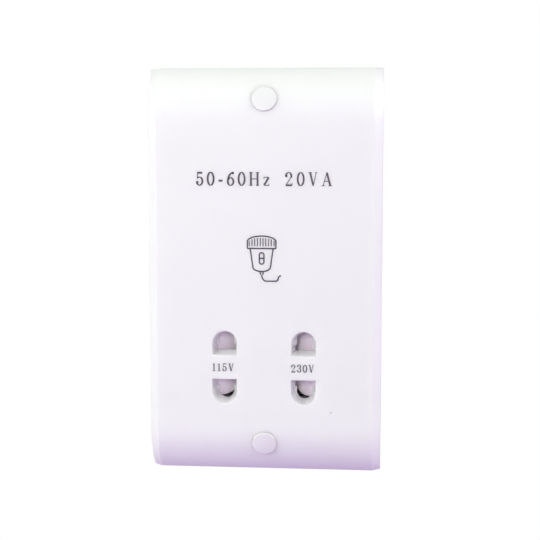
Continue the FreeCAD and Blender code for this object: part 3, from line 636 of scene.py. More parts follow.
def link_object(name: str, data: bpy.types.ID) -> bpy.types.Object:
    """Adds an object to the scene.

    Args:
        name: the object's name.
        data: its mesh, curve, light or camera.

    Returns:
        The object.
    """
    item = bpy.data.objects.new(name, data)
    bpy.context.scene.collection.objects.link(item)
    return item


def run_tree(
    carrier: bpy.types.Object,
    tree: bpy.types.NodeTree,
    values: dict[str, object],
) -> bpy.types.Mesh:
    """Runs a Geometry Nodes tree on an object and keeps the result as a plain mesh.

    Args:
        carrier: the object that gives the tree its geometry. It is removed afterwards.
        tree: the tree to run.
        values: the tree's inputs by name.

    Returns:
        The mesh.
    """
    modifier = carrier.modifiers.new("build", "NODES")
    modifier.node_group = tree
    for item in tree.interface.items_tree:
        if item.in_out == "INPUT" and item.name in values:
            modifier[item.identifier] = values[item.name]
    depsgraph = bpy.context.evaluated_depsgraph_get()
    mesh = bpy.data.meshes.new_from_object(carrier.evaluated_get(depsgraph))
    carrier.modifiers.remove(modifier)
    bpy.data.objects.remove(carrier)
    return mesh


def close_tree(
    graph: Graph,
    geometry: bpy.types.NodeSocket,
    given: bpy.types.Node,
    result: bpy.types.Node,
) -> None:
    """Ends a Geometry Nodes tree in Realize Instances and Set Material.

    Args:
        graph: the tree's graph.
        geometry: what the tree made.
        given: the tree's input node, which has a Material socket.
        result: the tree's output node.
    """
    real = graph.add("GeometryNodeRealizeInstances", {"Geometry": geometry})
    dressed = graph.add(
        "GeometryNodeSetMaterial",
        {"Geometry": real.outputs[0], "Material": given.outputs["Material"]},
    )
    graph.tree.links.new(dressed.outputs[0], result.inputs["Geometry"])


def seat_piece(piece: bpy.types.Object, body: str) -> None:
    """Fixes a piece to its body and reports it.

    Args:
        piece: the finished piece.
        body: the body it moves with.
    """
    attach(piece, body)
    LOG.info("%s: %d faces, moves with %s", piece.name, len(piece.data.polygons), body)


def spread(first: float, last: float, count: int) -> list[float]:
    """Spaces places evenly.

    Args:
        first: the first place.
        last: the last place.
        count: how many places there are.

    Returns:
        The places, or the middle where there is only one.
    """
    if count == 1:
        return [(first + last) / 2]
    return [first + (last - first) * index / (count - 1) for index in range(count)]


@dataclass(frozen=True)
class Line:
    """A straight pen stroke, in shares of the glyph's height."""

    start: Spot
    end: Spot
    nib: Nib = Nib.STEM

    def path(self) -> PenPath:
        """Follows the stroke.

        Returns:
            Its ends, each with how upright the stroke is there.
        """
        run = Vector(self.end) - Vector(self.start)
        steep = abs(run.y) / run.length
        return [(*self.start, steep), (*self.end, steep)]


@dataclass(frozen=True)
class Arc:
    """A pen stroke along part of an ellipse, in shares of the glyph's height."""

    centre: Spot
    radii: Spot
    first_deg: float
    last_deg: float
    nib: Nib = Nib.STRESSED
    step_deg: float = 10.0

    def path(self) -> PenPath:
        """Follows the stroke.

        Returns:
            Points along the arc, each with how upright the stroke is there.
        """
        sweep = self.last_deg - self.first_deg
        count = max(2, round(abs(sweep) / self.step_deg))
        points = []
        for index in range(count + 1):
            angle = math.radians(self.first_deg + sweep * index / count)
            run = Vector((-self.radii[0] * math.sin(angle), self.radii[1] * math.cos(angle)))
            x = self.centre[0] + self.radii[0] * math.cos(angle)
            y = self.centre[1] + self.radii[1] * math.sin(angle)
            points.append((x, y, abs(run.y) / run.length))
        return points


Stroke = Line | Arc


def foot(x: float, y: float, half: float = 0.13) -> Line:
    """Gives a serif: a fine level stroke centred on a point."""
    return Line((x - half, y), (x + half, y), Nib.HAIR)


def ball(x: float, y: float, radius: float = 0.035) -> Arc:
    """Gives the round end of a curved stroke."""
    return Arc((x, y), (radius, radius), 0.0, 360.0, Nib.STEM, 45.0)


@dataclass(frozen=True)
class Glyph:
    """A figure or letter: its width and strokes, in shares of its height."""

    width: float
    strokes: tuple[Stroke, ...]


def glyph(width: float, *strokes: Stroke) -> Glyph:
    """Gives a figure or letter from its width and its strokes."""
    return Glyph(width, strokes)


GLYPHS = {
    "0": glyph(0.54, Arc((0.27, 0.5), (0.225, 0.485), 90.0, 450.0)),
    "1": glyph(
        0.40,
        Line((0.21, 0.0), (0.21, 0.99)),
        Line((0.05, 0.84), (0.21, 0.97), Nib.HAIR),
        foot(0.21, 0.015, 0.18),
    ),
    "2": glyph(
        0.56,
        Arc((0.27, 0.74), (0.20, 0.245), 175.0, -35.0),
        Line((0.43, 0.60), (0.07, 0.05), Nib.HAIR),
        Line((0.05, 0.035), (0.51, 0.035), Nib.STEM),
        Line((0.51, 0.03), (0.53, 0.19), Nib.HAIR),
        ball(0.09, 0.74),
    ),
    "3": glyph(
        0.54,
        Arc((0.25, 0.755), (0.18, 0.23), 160.0, -90.0),
        Arc((0.25, 0.27), (0.215, 0.255), 90.0, -160.0),
        ball(0.10, 0.80),
        ball(0.075, 0.22),
    ),
    "5": glyph(
        0.54,
        Line((0.10, 0.95), (0.46, 0.95), Nib.STEM),
        Line((0.10, 0.97), (0.08, 0.50), Nib.HAIR),
        Arc((0.25, 0.32), (0.215, 0.305), 140.0, -160.0),
        ball(0.075, 0.24),
    ),
    "6": glyph(
        0.56,
        Arc((0.28, 0.30), (0.21, 0.285), 90.0, 450.0),
        Arc((0.50, 0.30), (0.43, 0.685), 180.0, 95.0),
        ball(0.45, 0.94),
    ),
    "-": glyph(0.40, Line((0.05, 0.36), (0.35, 0.36), Nib.STEM)),
    "A": glyph(
        0.74,
        Line((0.09, 0.02), (0.36, 1.0), Nib.HAIR),
        Line((0.36, 1.0), (0.62, 0.02)),
        Line((0.18, 0.34), (0.53, 0.34), Nib.HAIR),
        foot(0.10, 0.015),
        foot(0.62, 0.015),
    ),
    "H": glyph(
        0.80,
        Line((0.15, 0.0), (0.15, 1.0)),
        Line((0.65, 0.0), (0.65, 1.0)),
        Line((0.15, 0.5), (0.65, 0.5), Nib.HAIR),
        foot(0.15, 0.015),
        foot(0.65, 0.015),
        foot(0.15, 0.985),
        foot(0.65, 0.985),
    ),
    "L": glyph(0.50, Line((0.06, 0.0), (0.06, 1.0)), Line((0.06, 0.04), (0.50, 0.04))),
    "N": glyph(
        0.66,
        Line((0.06, 0.0), (0.06, 1.0)),
        Line((0.06, 1.0), (0.60, 0.0)),
        Line((0.60, 0.0), (0.60, 1.0)),
    ),
    "V": glyph(
        0.64,
        Line((0.10, 0.98), (0.33, 0.01)),
        Line((0.33, 0.01), (0.55, 0.98), Nib.HAIR),
        foot(0.10, 0.985),
        foot(0.55, 0.985, 0.09),
    ),
    "z": glyph(
        0.46,
        Line((0.05, 0.63), (0.41, 0.63), Nib.HAIR),
        Line((0.40, 0.62), (0.06, 0.03)),
        Line((0.05, 0.02), (0.42, 0.02), Nib.HAIR),
        Line((0.05, 0.50), (0.055, 0.63), Nib.HAIR),
        Line((0.42, 0.02), (0.425, 0.15), Nib.HAIR),
    ),
}


@dataclass(frozen=True)
class Pen:
    """Widths of a pen's full and fine strokes, in millimetres."""

    stem: float
    hair: float

    def draw(self, stroke: Stroke, corner: Spot, height: float) -> PenPath:
        """Draws one stroke at its place.

        Args:
            stroke: the stroke, in shares of the height.
            corner: lower left corner of its glyph, in millimetres.
            height: the glyph's height, in millimetres.

        Returns:
            Points in millimetres, each with the stroke's width there.
        """
        points = []
        for x, y, steep in stroke.path():
            width = self.hair + (self.stem - self.hair) * stroke.nib.share(steep)
            points.append((corner[0] + x * height, corner[1] + y * height, width))
        return points


@dataclass(frozen=True)
class Legend:
    """A run of figures and letters, spread evenly between two ends, in millimetres."""

    text: str
    left: float
    right: float
    base: float
    height: float
    pen: Pen

    def paths(self) -> list[PenPath]:
        """Draws the legend.

        Returns:
            Its strokes' paths, left to right.
        """
        glyphs = [GLYPHS[letter] for letter in self.text]
        filled = sum(glyph.width for glyph in glyphs) * self.height
        gap = (self.right - self.left - filled) / max(1, len(glyphs) - 1)
        drawn, x = [], self.left
        for glyph in glyphs:
            drawn += [self.pen.draw(stroke, (x, self.base), self.height) for stroke in glyph.strokes]
            x += glyph.width * self.height + gap
        return drawn


@dataclass(frozen=True)
class ShaverSign:
    """Outline of an upright shaver with a row of cutters, a slide switch and a flex."""

    centre_x: float
    base: float
    height: float
    pen: Pen
    body_top: float = 0.25
    body_low: float = 0.19
    body_foot: float = 0.30
    foot_round: float = 0.09
    shoulder: float = 0.71
    head_half: float = 0.31
    head_side: float = 0.86
    crown: float = 0.12
    switch_half: float = 0.05
    switch_span: Spot = (0.42, 0.57)
    cutters: int = 10
    cutter_reach: float = 0.87
    cutter_margins: Spot = (0.05, 0.04)
    sleeve_halves: Spot = (0.035, 0.025)
    sleeve_length: float = 0.07
    bend_round: float = 0.10
    flex_end: float = 0.30
    hook_round: float = 0.06

    def strokes(self) -> list[Stroke]:
        """Lists the sign's strokes.

        Returns:
            The strokes, in shares of the height, about the sign's centre line.
        """
        head, ledge, side = self.head_half, self.shoulder, self.head_side
        drawn: list[Stroke] = [
            Line((-self.body_top, ledge), (-self.body_low, self.body_foot)),
            Line((self.body_top, ledge), (self.body_low, self.body_foot)),
            Arc((0.0, self.body_foot), (self.body_low, self.foot_round), 180.0, 360.0, Nib.STEM),
            Line((-head, ledge), (head, ledge)),
            Line((-head, ledge), (-head, side)),
            Line((head, ledge), (head, side)),
            Arc((0.0, side), (head, self.crown), 0.0, 180.0, Nib.STEM),
        ]
        reach = head * self.cutter_reach
        below, above = self.cutter_margins
        for x in spread(-reach, reach, self.cutters):
            rise = self.crown * math.sqrt(1.0 - (x / head) ** 2)
            drawn.append(Line((x, ledge + below), (x, side + rise - above), Nib.HAIR))
        return drawn + self.switch() + self.flex()

    def switch(self) -> list[Stroke]:
        """Lists the strokes of the switch.

        Returns:
            An upright slot and its slider's edge.
        """
        half = self.switch_half
        low, high = self.switch_span
        return [
            Line((-half, low), (-half, high)),
            Line((half, low), (half, high)),
            Arc((0.0, low), (half, half), 180.0, 360.0, Nib.STEM),
            Arc((0.0, high), (half, half), 0.0, 180.0, Nib.STEM),
            Line((-half, (low + high) / 2), (half, (low + high) / 2)),
        ]

    def flex(self) -> list[Stroke]:
        """Lists the strokes of the flex below the body.

        Returns:
            A sleeve, a bend and an end that rises.
        """
        foot_y = self.body_foot - self.foot_round
        exit_y = foot_y - self.sleeve_length
        wide, slim = self.sleeve_halves
        bend, end, hook = self.bend_round, self.flex_end, self.hook_round
        return [
            Line((-wide, foot_y), (-slim, exit_y)),
            Line((wide, foot_y), (slim, exit_y)),
            Arc((bend, exit_y), (bend, exit_y), 180.0, 270.0, Nib.STEM),
            Line((bend, 0.0), (end, 0.0)),
            Arc((end, hook), (hook, hook), -90.0, 0.0, Nib.STEM),
            Arc((end + 2 * hook, hook), (hook, hook), 180.0, 90.0, Nib.STEM),
        ]

    def paths(self) -> list[PenPath]:
        """Draws the sign's strokes."""
        corner = (self.centre_x, self.base)
        return [self.pen.draw(stroke, corner, self.height) for stroke in self.strokes()]


@dataclass(frozen=True)
class Speck:
    """A round speck of dirt on the plate, in millimetres."""

    centre: Spot
    size: float

    def paths(self) -> list[PenPath]:
        """Draws the speck as one dab of the pen."""
        pen = Pen(stem=self.size / 2, hair=self.size / 2)
        return [pen.draw(ball(0.0, 0.0, radius=0.25), self.centre, self.size)]


class Ribbons:
    """Turns pen paths into flat ribbons that lie on a face."""

    def __init__(self) -> None:
        """Builds the tree that sweeps a flat strip along each path."""
        inputs = {"Geometry": GEOMETRY, "Thickness": FLOAT, "Material": MATERIAL}
        outputs = {"Geometry": GEOMETRY}
        graph, given, result = open_group("pen_ribbons", "GeometryNodeTree", inputs, outputs)
        level = graph.add(
            "GeometryNodeSetCurveNormal",
            {"Curve": given.outputs["Geometry"]},
            mode="Z_UP",
        )
        strip = graph.add(
            "GeometryNodeCurvePrimitiveQuadrilateral",
            {"Width": 1.0, "Height": given.outputs["Thickness"]},
        )
        swept = graph.add(
            "GeometryNodeCurveToMesh",
            {
                "Curve": level.outputs[0],
                "Profile Curve": strip.outputs[0],
                "Scale": graph.add("GeometryNodeInputRadius").outputs[0],
                "Fill Caps": True,
            },
        )
        close_tree(graph, swept.outputs[0], given, result)
        self.tree = graph.tree

    def lay(
        self,
        name: str,
        paths: Iterable[PenPath],
        place: Matrix,
        thickness: float,
        material: bpy.types.Material,
    ) -> bpy.types.Object:
        """Makes one piece from pen paths.

        Args:
            name: the piece's name.
            paths: points in millimetres with their widths.
            place: takes the drawing's plane, seen from +Z, to the face.
            thickness: the ribbon's thickness as a share of its width.
            material: the piece's material.

        Returns:
            The piece, with its place in its mesh.
        """
        curve = bpy.data.curves.new(name + "_paths", "CURVE")
        curve.dimensions = "3D"
        for path in paths:
            spline = curve.splines.new("POLY")
            spline.points.add(len(path) - 1)
            for point, (x, y, width) in zip(spline.points, path):
                point.co = (x * MM, y * MM, 0.0, 1.0)
                point.radius = width * MM
        carrier = link_object(name + "_paths", curve)
        mesh = run_tree(carrier, self.tree, {"Thickness": thickness, "Material": material})
        mesh.transform(place)
        mesh.name = name
        return link_object(name, mesh)


def face_to_front(y: float) -> Matrix:
    """Gives the move from a drawing's plane to a face that looks towards -Y."""
    return Matrix.Translation((0.0, y, 0.0)) @ Matrix.Rotation(math.radians(90.0), 4, "X")


def face_to_wall(y: float) -> Matrix:
    """Gives the move from a drawing's plane to a face that looks towards +Y."""
    return Matrix.Rotation(math.radians(180.0), 4, "Z") @ face_to_front(-y)


@dataclass
class FrontPrint:
    """Figures and sign printed on the front plate, and a speck of dirt there."""

    ribbons: Ribbons
    finishes: Finishes
    ink_thickness: float = 0.08
    rating_base: float = 30.6
    rating_height: float = 4.6
    rating_left: float = -23.5
    rating_right: float = 23.4
    rating_break: float = 4.6
    rating_gap: float = 5.4
    outlet_height: float = 2.7
    outlet_base: float = -34.45
    outlet_spans: tuple[tuple[str, float, float], ...] = (
        ("115V", -18.2, -10.7),
        ("230V", 9.5, 17.4),
    )
    sign_x: float = -0.8
    sign_base: float = -2.5
    sign_height: float = 16.0
    speck_place: Spot = (23.5, -48.5)
    speck_size: float = 0.4

    def build(self) -> None:
        """Makes the legends, the sign and the speck, each one piece."""
        bold = Pen(stem=0.62, hair=0.26)
        small = Pen(stem=0.36, hair=0.17)
        line = Pen(stem=0.46, hair=0.34)
        first_end = self.rating_break - self.rating_gap / 2
        second_start = self.rating_break + self.rating_gap / 2
        level, height = self.rating_base, self.rating_height
        rating = [
            Legend("50-60Hz", self.rating_left, first_end, level, height, bold),
            Legend("20VA", second_start, self.rating_right, level, height, bold),
        ]
        outlets = [
            Legend(text, left, right, self.outlet_base, self.outlet_height, small)
            for text, left, right in self.outlet_spans
        ]
        sign = ShaverSign(self.sign_x, self.sign_base, self.sign_height, line)
        self.lay("printed_rating", rating)
        self.lay("printed_voltages", outlets)
        self.lay("printed_shaver_sign", [sign])
        self.lay("dirt_speck", [Speck(self.speck_place, self.speck_size)])

    def lay(self, name: str, drawings: list[Legend | ShaverSign | Speck]) -> None:
        """Lays drawings on the plate's face as one piece.

        Args:
            name: the piece's name.
            drawings: what it shows.
        """
        paths = [path for drawing in drawings for path in drawing.paths()]
        place = face_to_front(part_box("front_plate")[0].y)
        ink = self.finishes.of(PRINT_INK)
        piece = self.ribbons.lay(name, paths, place, self.ink_thickness, ink)
        seat_piece(piece, "socket")


@dataclass
class TerminalMarks:
    """Raised marks on the terminal block beside its three terminals."""

    ribbons: Ribbons
    finishes: Finishes
    height: float = 1.9
    top_margin: float = 1.0
    thickness: float = 0.8
    earth_bars: tuple[float, ...] = (0.42, 0.28, 0.14)
    earth_level: float = 0.5
    earth_step: float = 0.25

    def build(self) -> None:
        """Makes the marks as one piece."""
        pen = Pen(stem=0.30, hair=0.30)
        low, high = (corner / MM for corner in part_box("terminal_block"))
        base = high.z - self.top_margin - self.height
        paths = []
        for node, letter in (("live_terminal", "L"), ("neutral_terminal", "N")):
            start, end = (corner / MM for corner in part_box(node))
            width = GLYPHS[letter].width * self.height
            left = -(start.x + end.x) / 2 - width / 2
            paths += Legend(letter, left, left + width, base, self.height, pen).paths()
        earth_x = -(low.x + high.x) / 2
        paths += [pen.draw(stroke, (earth_x, base), self.height) for stroke in self.earth_strokes()]
        # The marks share the block's finish, whose near-black tone is painted shade.
        finish = self.finishes.of_slot(Slot.BLOCK)
        place = face_to_wall(high.y * MM)
        piece = self.ribbons.lay("terminal_marks", paths, place, self.thickness, finish)
        seat_piece(piece, "socket")

    def earth_strokes(self) -> list[Stroke]:
        """Lists the strokes of the earth sign.

        Returns:
            A stalk on three shrinking bars.
        """
        drawn: list[Stroke] = [Line((0.0, self.earth_level), (0.0, 1.0))]
        for row, half in enumerate(self.earth_bars):
            level = self.earth_level - self.earth_step * row
            drawn.append(Line((-half, level), (half, level)))
        return drawn


@dataclass
class ReturnSprings:
    """The coil that pushes each shutter back over its pin openings."""

    finishes: Finishes
    wire_radius: float = 0.17
    turns: int = 8
    closing: float = 0.72
    steps_per_turn: int = 22
    wire_sides: int = 8

    def tree(self) -> bpy.types.NodeTree:
        """Builds the tree that winds a coil along +X whose turns close up at both ends.

        Returns:
            The tree.
        """
        numbers = ("Coil Radius", "Wire Radius", "Turns", "Length", "Closing")
        inputs = {"Geometry": GEOMETRY} | dict.fromkeys(numbers, FLOAT)
        inputs |= {"Start": VECTOR, "Material": MATERIAL}
        outputs = {"Geometry": GEOMETRY}
        graph, given, result = open_group("return_coil", "GeometryNodeTree", inputs, outputs)
        spiral = graph.add(
            "GeometryNodeCurveSpiral",
            {
                "Resolution": self.steps_per_turn,
                "Rotations": given.outputs["Turns"],
                "Start Radius": given.outputs["Coil Radius"],
                "End Radius": given.outputs["Coil Radius"],
                "Height": given.outputs["Length"],
            },
        )
        share = graph.add("GeometryNodeSplineParameter").outputs["Factor"]
        wave = graph.math("SINE", graph.math("MULTIPLY", share, math.tau))
        swing = graph.math("MULTIPLY", wave, given.outputs["Closing"])
        lag = graph.math("MULTIPLY", swing, -1.0 / math.tau)
        shift = graph.math("MULTIPLY", lag, given.outputs["Length"])
        offset = graph.add("ShaderNodeCombineXYZ", {"Z": shift})
        wound = graph.add(
            "GeometryNodeSetPosition",
            {"Geometry": spiral.outputs[0], "Offset": offset.outputs[0]},
        )
        wire = graph.add(
            "GeometryNodeCurvePrimitiveCircle",
            {"Resolution": self.wire_sides, "Radius": given.outputs["Wire Radius"]},
        )
        swept = graph.add(
            "GeometryNodeCurveToMesh",
            {"Curve": wound.outputs[0], "Profile Curve": wire.outputs[0], "Fill Caps": True},
        )
        smooth = graph.add("GeometryNodeSetShadeSmooth", {"Geometry": swept.outputs[0]})
        laid = graph.add(
            "GeometryNodeTransform",
            {
                "Geometry": smooth.outputs[0],
                "Translation": given.outputs["Start"],
                "Rotation": (0.0, math.radians(90.0), 0.0),
            },
        )
        close_tree(graph, laid.outputs[0], given, result)
        return graph.tree

    def build(self) -> None:
        """Winds both springs in the places of their solids."""
        tree = self.tree()
        for outlet in Outlet:
            node = f"shutter_spring_{outlet.value}"
            low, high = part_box(node)
            wire = self.wire_radius * MM
            centre = (low + high) / 2
            values = {
                "Coil Radius": (high.z - low.z) / 2 - wire,
                "Wire Radius": wire,
                "Turns": float(self.turns),
                "Length": high.x - low.x - 2 * wire,
                "Closing": self.closing,
                "Start": (low.x + wire, centre.y, centre.z),
                "Material": self.finishes.of_slot(Slot.SPRING),
            }
            carrier = link_object(node + "_carrier", bpy.data.meshes.new(node + "_carrier"))
            mesh = run_tree(carrier, tree, values)
            mesh.name = f"return_spring_{outlet.value}"
            spring = link_object(mesh.name, mesh)
            seat_piece(spring, "socket")
            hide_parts(node)
            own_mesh(spring)


def lathe(name: str, profile: list[Spot], sides: int) -> bpy.types.Mesh:
    """Turns a profile about Z into a closed mesh.

    Args:
        name: the mesh's name.
        profile: radius and height of each corner, from one end of the axis to the other.
        sides: how many flats the round has.

    Returns:
        The mesh, with its faces outwards.
    """
    inner = profile[1:-1]
    points = [(0.0, 0.0, profile[0][1])]
    for radius, height in inner:
        for index in range(sides):
            angle = math.tau * index / sides
            points.append((radius * math.cos(angle), radius * math.sin(angle), height))
    points.append((0.0, 0.0, profile[-1][1]))
    last = len(points) - 1
    faces = []
    for index in range(sides):
        after = (index + 1) % sides
        faces.append((0, 1 + after, 1 + index))
        for ring in range(len(inner) - 1):
            here, there = 1 + ring * sides, 1 + (ring + 1) * sides
            faces.append((here + index, here + after, there + after, there + index))
        rim = 1 + (len(inner) - 1) * sides
        faces.append((rim + index, rim + after, last))
    mesh = bpy.data.meshes.new(name)
    mesh.from_pydata(points, [], faces)
    mesh.update()
    return mesh


@dataclass
class ScrewCaps:
    """The domed caps over the fixing screws, turned finer than their solids."""

    finishes: Finishes
    radius: float = 4.31
    edge_round: float = 0.35
    edge: float = 0.8
    rise: float = 1.2
    stem_radius: float = 2.9
    stem_length: float = 1.6
    seat_depth: float = 0.5
    fixing_inset: float = 10.7
    end_run: float = 16.75
    end_drop: float = 8.0
    rim_steps: int = 7
    dome_steps: int = 12
    sides: int = 96

    def profile(self) -> list[Spot]:
        """Draws the section of the stem, the rounded rim and the shallow dome.

        Returns:
            Radius and height of each corner, in metres, from the stem's foot to the crown.
        """
        wide, soft, stem = self.radius, self.edge_round, self.stem_radius
        bow = self.rise - self.edge
        ball_radius = (wide * wide + bow * bow) / (2 * bow)
        ball_height = self.rise - ball_radius
        lift = math.sqrt((ball_radius - soft) ** 2 - (wide - soft) ** 2)
        meet = math.atan2(lift, wide - soft)
        spots = [(0.0, -self.stem_length), (stem, -self.stem_length), (stem, 0.0), (wide, 0.0)]
        for turn in spread(0.0, meet, self.rim_steps):
            side = wide - soft + soft * math.cos(turn)
            spots.append((side, ball_height + lift + soft * math.sin(turn)))
        for turn in spread(meet, math.pi / 2, self.dome_steps)[1:-1]:
            side = ball_radius * math.cos(turn)
            spots.append((side, ball_height + ball_radius * math.sin(turn)))
        spots.append((0.0, self.rise))
        return [(radius * MM, height * MM) for radius, height in spots]

    def build(self) -> None:
        """Stands a cap on each arched end, square to the surface."""
        low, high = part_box("front_plate")
        arch = (self.end_run**2 + self.end_drop**2) / (2 * self.end_drop) * MM
        centre_z = high.z - self.end_run * MM
        slope = (high.z - self.fixing_inset * MM - centre_z) / arch
        for node, up in (("top_screw_cap", 1.0), ("bottom_screw_cap", -1.0)):
            normal = Vector((0.0, -math.sqrt(1.0 - slope * slope), up * slope))
            centre = Vector((0.0, low.y + arch, up * centre_z))
            seat = centre + normal * (arch - self.seat_depth * MM)
            mesh = lathe(f"turned_{node}", self.profile(), self.sides)
            turn = Vector((0.0, 0.0, 1.0)).rotation_difference(normal).to_matrix().to_4x4()
            mesh.transform(Matrix.Translation(seat) @ turn)
            mesh.shade_smooth()
            mesh.materials.append(self.finishes.of_slot(Slot.CAP))
            cap = link_object(mesh.name, mesh)
            seat_piece(cap, "socket")
            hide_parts(node)


@dataclass
class ScrewSet:
    """Alike slotted screws along Y, set out in rows where their solids stand."""

    finishes: Finishes
    node: str
    columns: int
    rows: int
    tip: Tip
    head_radius: float
    head_height: float
    shank_radius: float
    thread_radius: float
    thread_start: float
    pitch: float
    slot_width: float = 0.8
    slot_reach: float = 2.4
    rim: float = 0.35
    dome: float = 0.25
    point: float = 0.9
    point_share: float = 0.45
    sides: int = 40
    seed: int = 7

    def seats(self) -> list[Vector]:
        """Finds the screws' places from the box of their solids.

        Returns:
            Where the heads meet their seats, in metres.
        """
        low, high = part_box(self.node)
        inset = self.head_radius * MM
        depth = self.head_height * MM
        seat_y = low.y + depth if self.tip is Tip.TO_WALL else high.y - depth
        xs = spread(low.x + inset, high.x - inset, self.columns)
        zs = spread(low.z + inset, high.z - inset, self.rows)
        return [Vector((x, seat_y, z)) for x in xs for z in zs]

    def length(self) -> float:
        """Gives the reach from seat to tip, in metres."""
        low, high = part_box(self.node)
        return high.y - low.y - self.head_height * MM

    def blank(self) -> bpy.types.Object:
        """Turns the screw's head and core.

        Returns:
            The blank, its seat at the origin and its tip along +Z.
        """
        top, reach = -self.head_height * MM, self.length()
        wide, core, rim = self.head_radius * MM, self.shank_radius * MM, self.rim * MM
        crown, point = self.dome * MM, self.point * MM
        profile = [(0.0, top)]
        for turn in (30.0, 60.0):
            angle = math.radians(turn)
            drop = crown * (1.0 - math.cos(angle)) / 2
            profile.append(((wide - rim) * math.sin(angle), top + drop))
        for turn in (0.0, 30.0, 60.0, 90.0):
            angle = math.radians(turn)
            side = wide - rim * (1.0 - math.sin(angle))
            profile.append((side, top + crown / 2 + rim * (1.0 - math.cos(angle))))
        profile += [(wide, -rim / 3), (wide - rim / 3, 0.0), (core, 0.0)]
        profile += [(core, reach - point), (core * self.point_share, reach), (0.0, reach)]
        return link_object(self.node + "_blank", lathe(self.node + "_blank", profile, self.sides))

    def build(self, tree: bpy.types.NodeTree) -> None:
        """Threads the screws and sets them out.

        Args:
            tree: the tree from screw_tree.
        """
        blank = self.blank()
        points = bpy.data.meshes.new(self.node + "_seats")
        points.from_pydata(self.seats(), [], [])
        start = self.thread_start * MM
        threaded = self.length() - start - self.point * MM
        depth = (self.thread_radius - self.shank_radius) * MM
        values = {
            "Blank": blank,
            "Slot Width": self.slot_width * MM,
            "Slot Length": self.slot_reach * self.head_radius * MM,
            "Slot Depth": self.head_height * MM,
            "Head Height": self.head_height * MM,
            "Thread Radius": self.thread_radius * MM,
            "Thread Depth": depth,
            "Thread Start": start,
            "Thread Length": threaded,
            "Turns": threaded / (self.pitch * MM),
            "Tilt": -math.radians(90.0) * self.tip.value,
            "Seed": self.seed,
            "Material": self.finishes.of_slot(Slot.SCREW),
        }
        mesh = run_tree(link_object(self.node + "_seats", points), tree, values)
        bpy.data.objects.remove(blank)
        mesh.name = f"threaded_{self.node}"
        piece = link_object(mesh.name, mesh)
        seat_piece(piece, "socket")
        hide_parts(self.node)


def screw_tree() -> bpy.types.NodeTree:
    """Builds the tree that slots a blank, winds its thread and sets screws on points.

    Returns:
        The tree.
    """
    numbers = ("Slot Width", "Slot Length", "Slot Depth", "Head Height", "Thread Radius")
    numbers += ("Thread Depth", "Thread Start", "Thread Length", "Turns", "Tilt")
    inputs = {"Geometry": GEOMETRY, "Blank": "NodeSocketObject"} | dict.fromkeys(numbers, FLOAT)
    inputs |= {"Seed": "NodeSocketInt", "Material": MATERIAL}
    outputs = {"Geometry": GEOMETRY}
    graph, given, result = open_group("slotted_screws", "GeometryNodeTree", inputs, outputs)
    take = given.outputs
    blank = graph.add("GeometryNodeObjectInfo", {"Object": take["Blank"]}).outputs["Geometry"]
    size = graph.add(
        "ShaderNodeCombineXYZ",
        {"X": take["Slot Width"], "Y": take["Slot Length"], "Z": take["Slot Depth"]},
    )
    bar = graph.add("GeometryNodeMeshCube", {"Size": size.outputs[0]})
    lift = graph.add("ShaderNodeCombineXYZ", {"Z": graph.math("MULTIPLY", take["Head Height"], -1.0)})
    raised = graph.add(
        "GeometryNodeTransform",
        {"Geometry": bar.outputs["Mesh"], "Translation": lift.outputs[0]},
    )
    slotted = graph.add(
        "GeometryNodeMeshBoolean",
        {"Mesh 1": blank, "Mesh 2": raised.outputs[0]},
        operation="DIFFERENCE",
    )
    half_depth = graph.math("MULTIPLY", take["Thread Depth"], 0.5)
    reach = graph.math("SUBTRACT", take["Thread Radius"], half_depth)
    spiral = graph.add(
        "GeometryNodeCurveSpiral",
        {
            "Resolution": THREAD_STEPS,
            "Rotations": take["Turns"],
            "Start Radius": reach,
            "End Radius": reach,
            "Height": take["Thread Length"],
        },
    )
    ridge = graph.add(
        "GeometryNodeCurvePrimitiveCircle",
        {"Resolution": RIDGE_SIDES, "Radius": half_depth},
    )
    wound = graph.add(
        "GeometryNodeCurveToMesh",
        {"Curve": spiral.outputs[0], "Profile Curve": ridge.outputs[0], "Fill Caps": True},
    )
    run_in = graph.add("ShaderNodeCombineXYZ", {"Z": take["Thread Start"]})
    thread = graph.add(
        "GeometryNodeTransform",
        {"Geometry": wound.outputs[0], "Translation": run_in.outputs[0]},
    )
    whole = graph.add("GeometryNodeJoinGeometry")
    graph.tree.links.new(slotted.outputs[0], whole.inputs[0])
    graph.tree.links.new(thread.outputs[0], whole.inputs[0])
    turn = graph.add("FunctionNodeRandomValue", {"Seed": take["Seed"]}, data_type="FLOAT")
    spin = graph.math("MULTIPLY", turn.outputs[1], math.pi)
    way = graph.add("ShaderNodeCombineXYZ", {"X": take["Tilt"], "Y": spin})
    stood = graph.add(
        "GeometryNodeInstanceOnPoints",
        {"Points": take["Geometry"], "Instance": whole.outputs[0], "Rotation": way.outputs[0]},
    )
    close_tree(graph, stood.outputs[0], given, result)
    return graph.tree


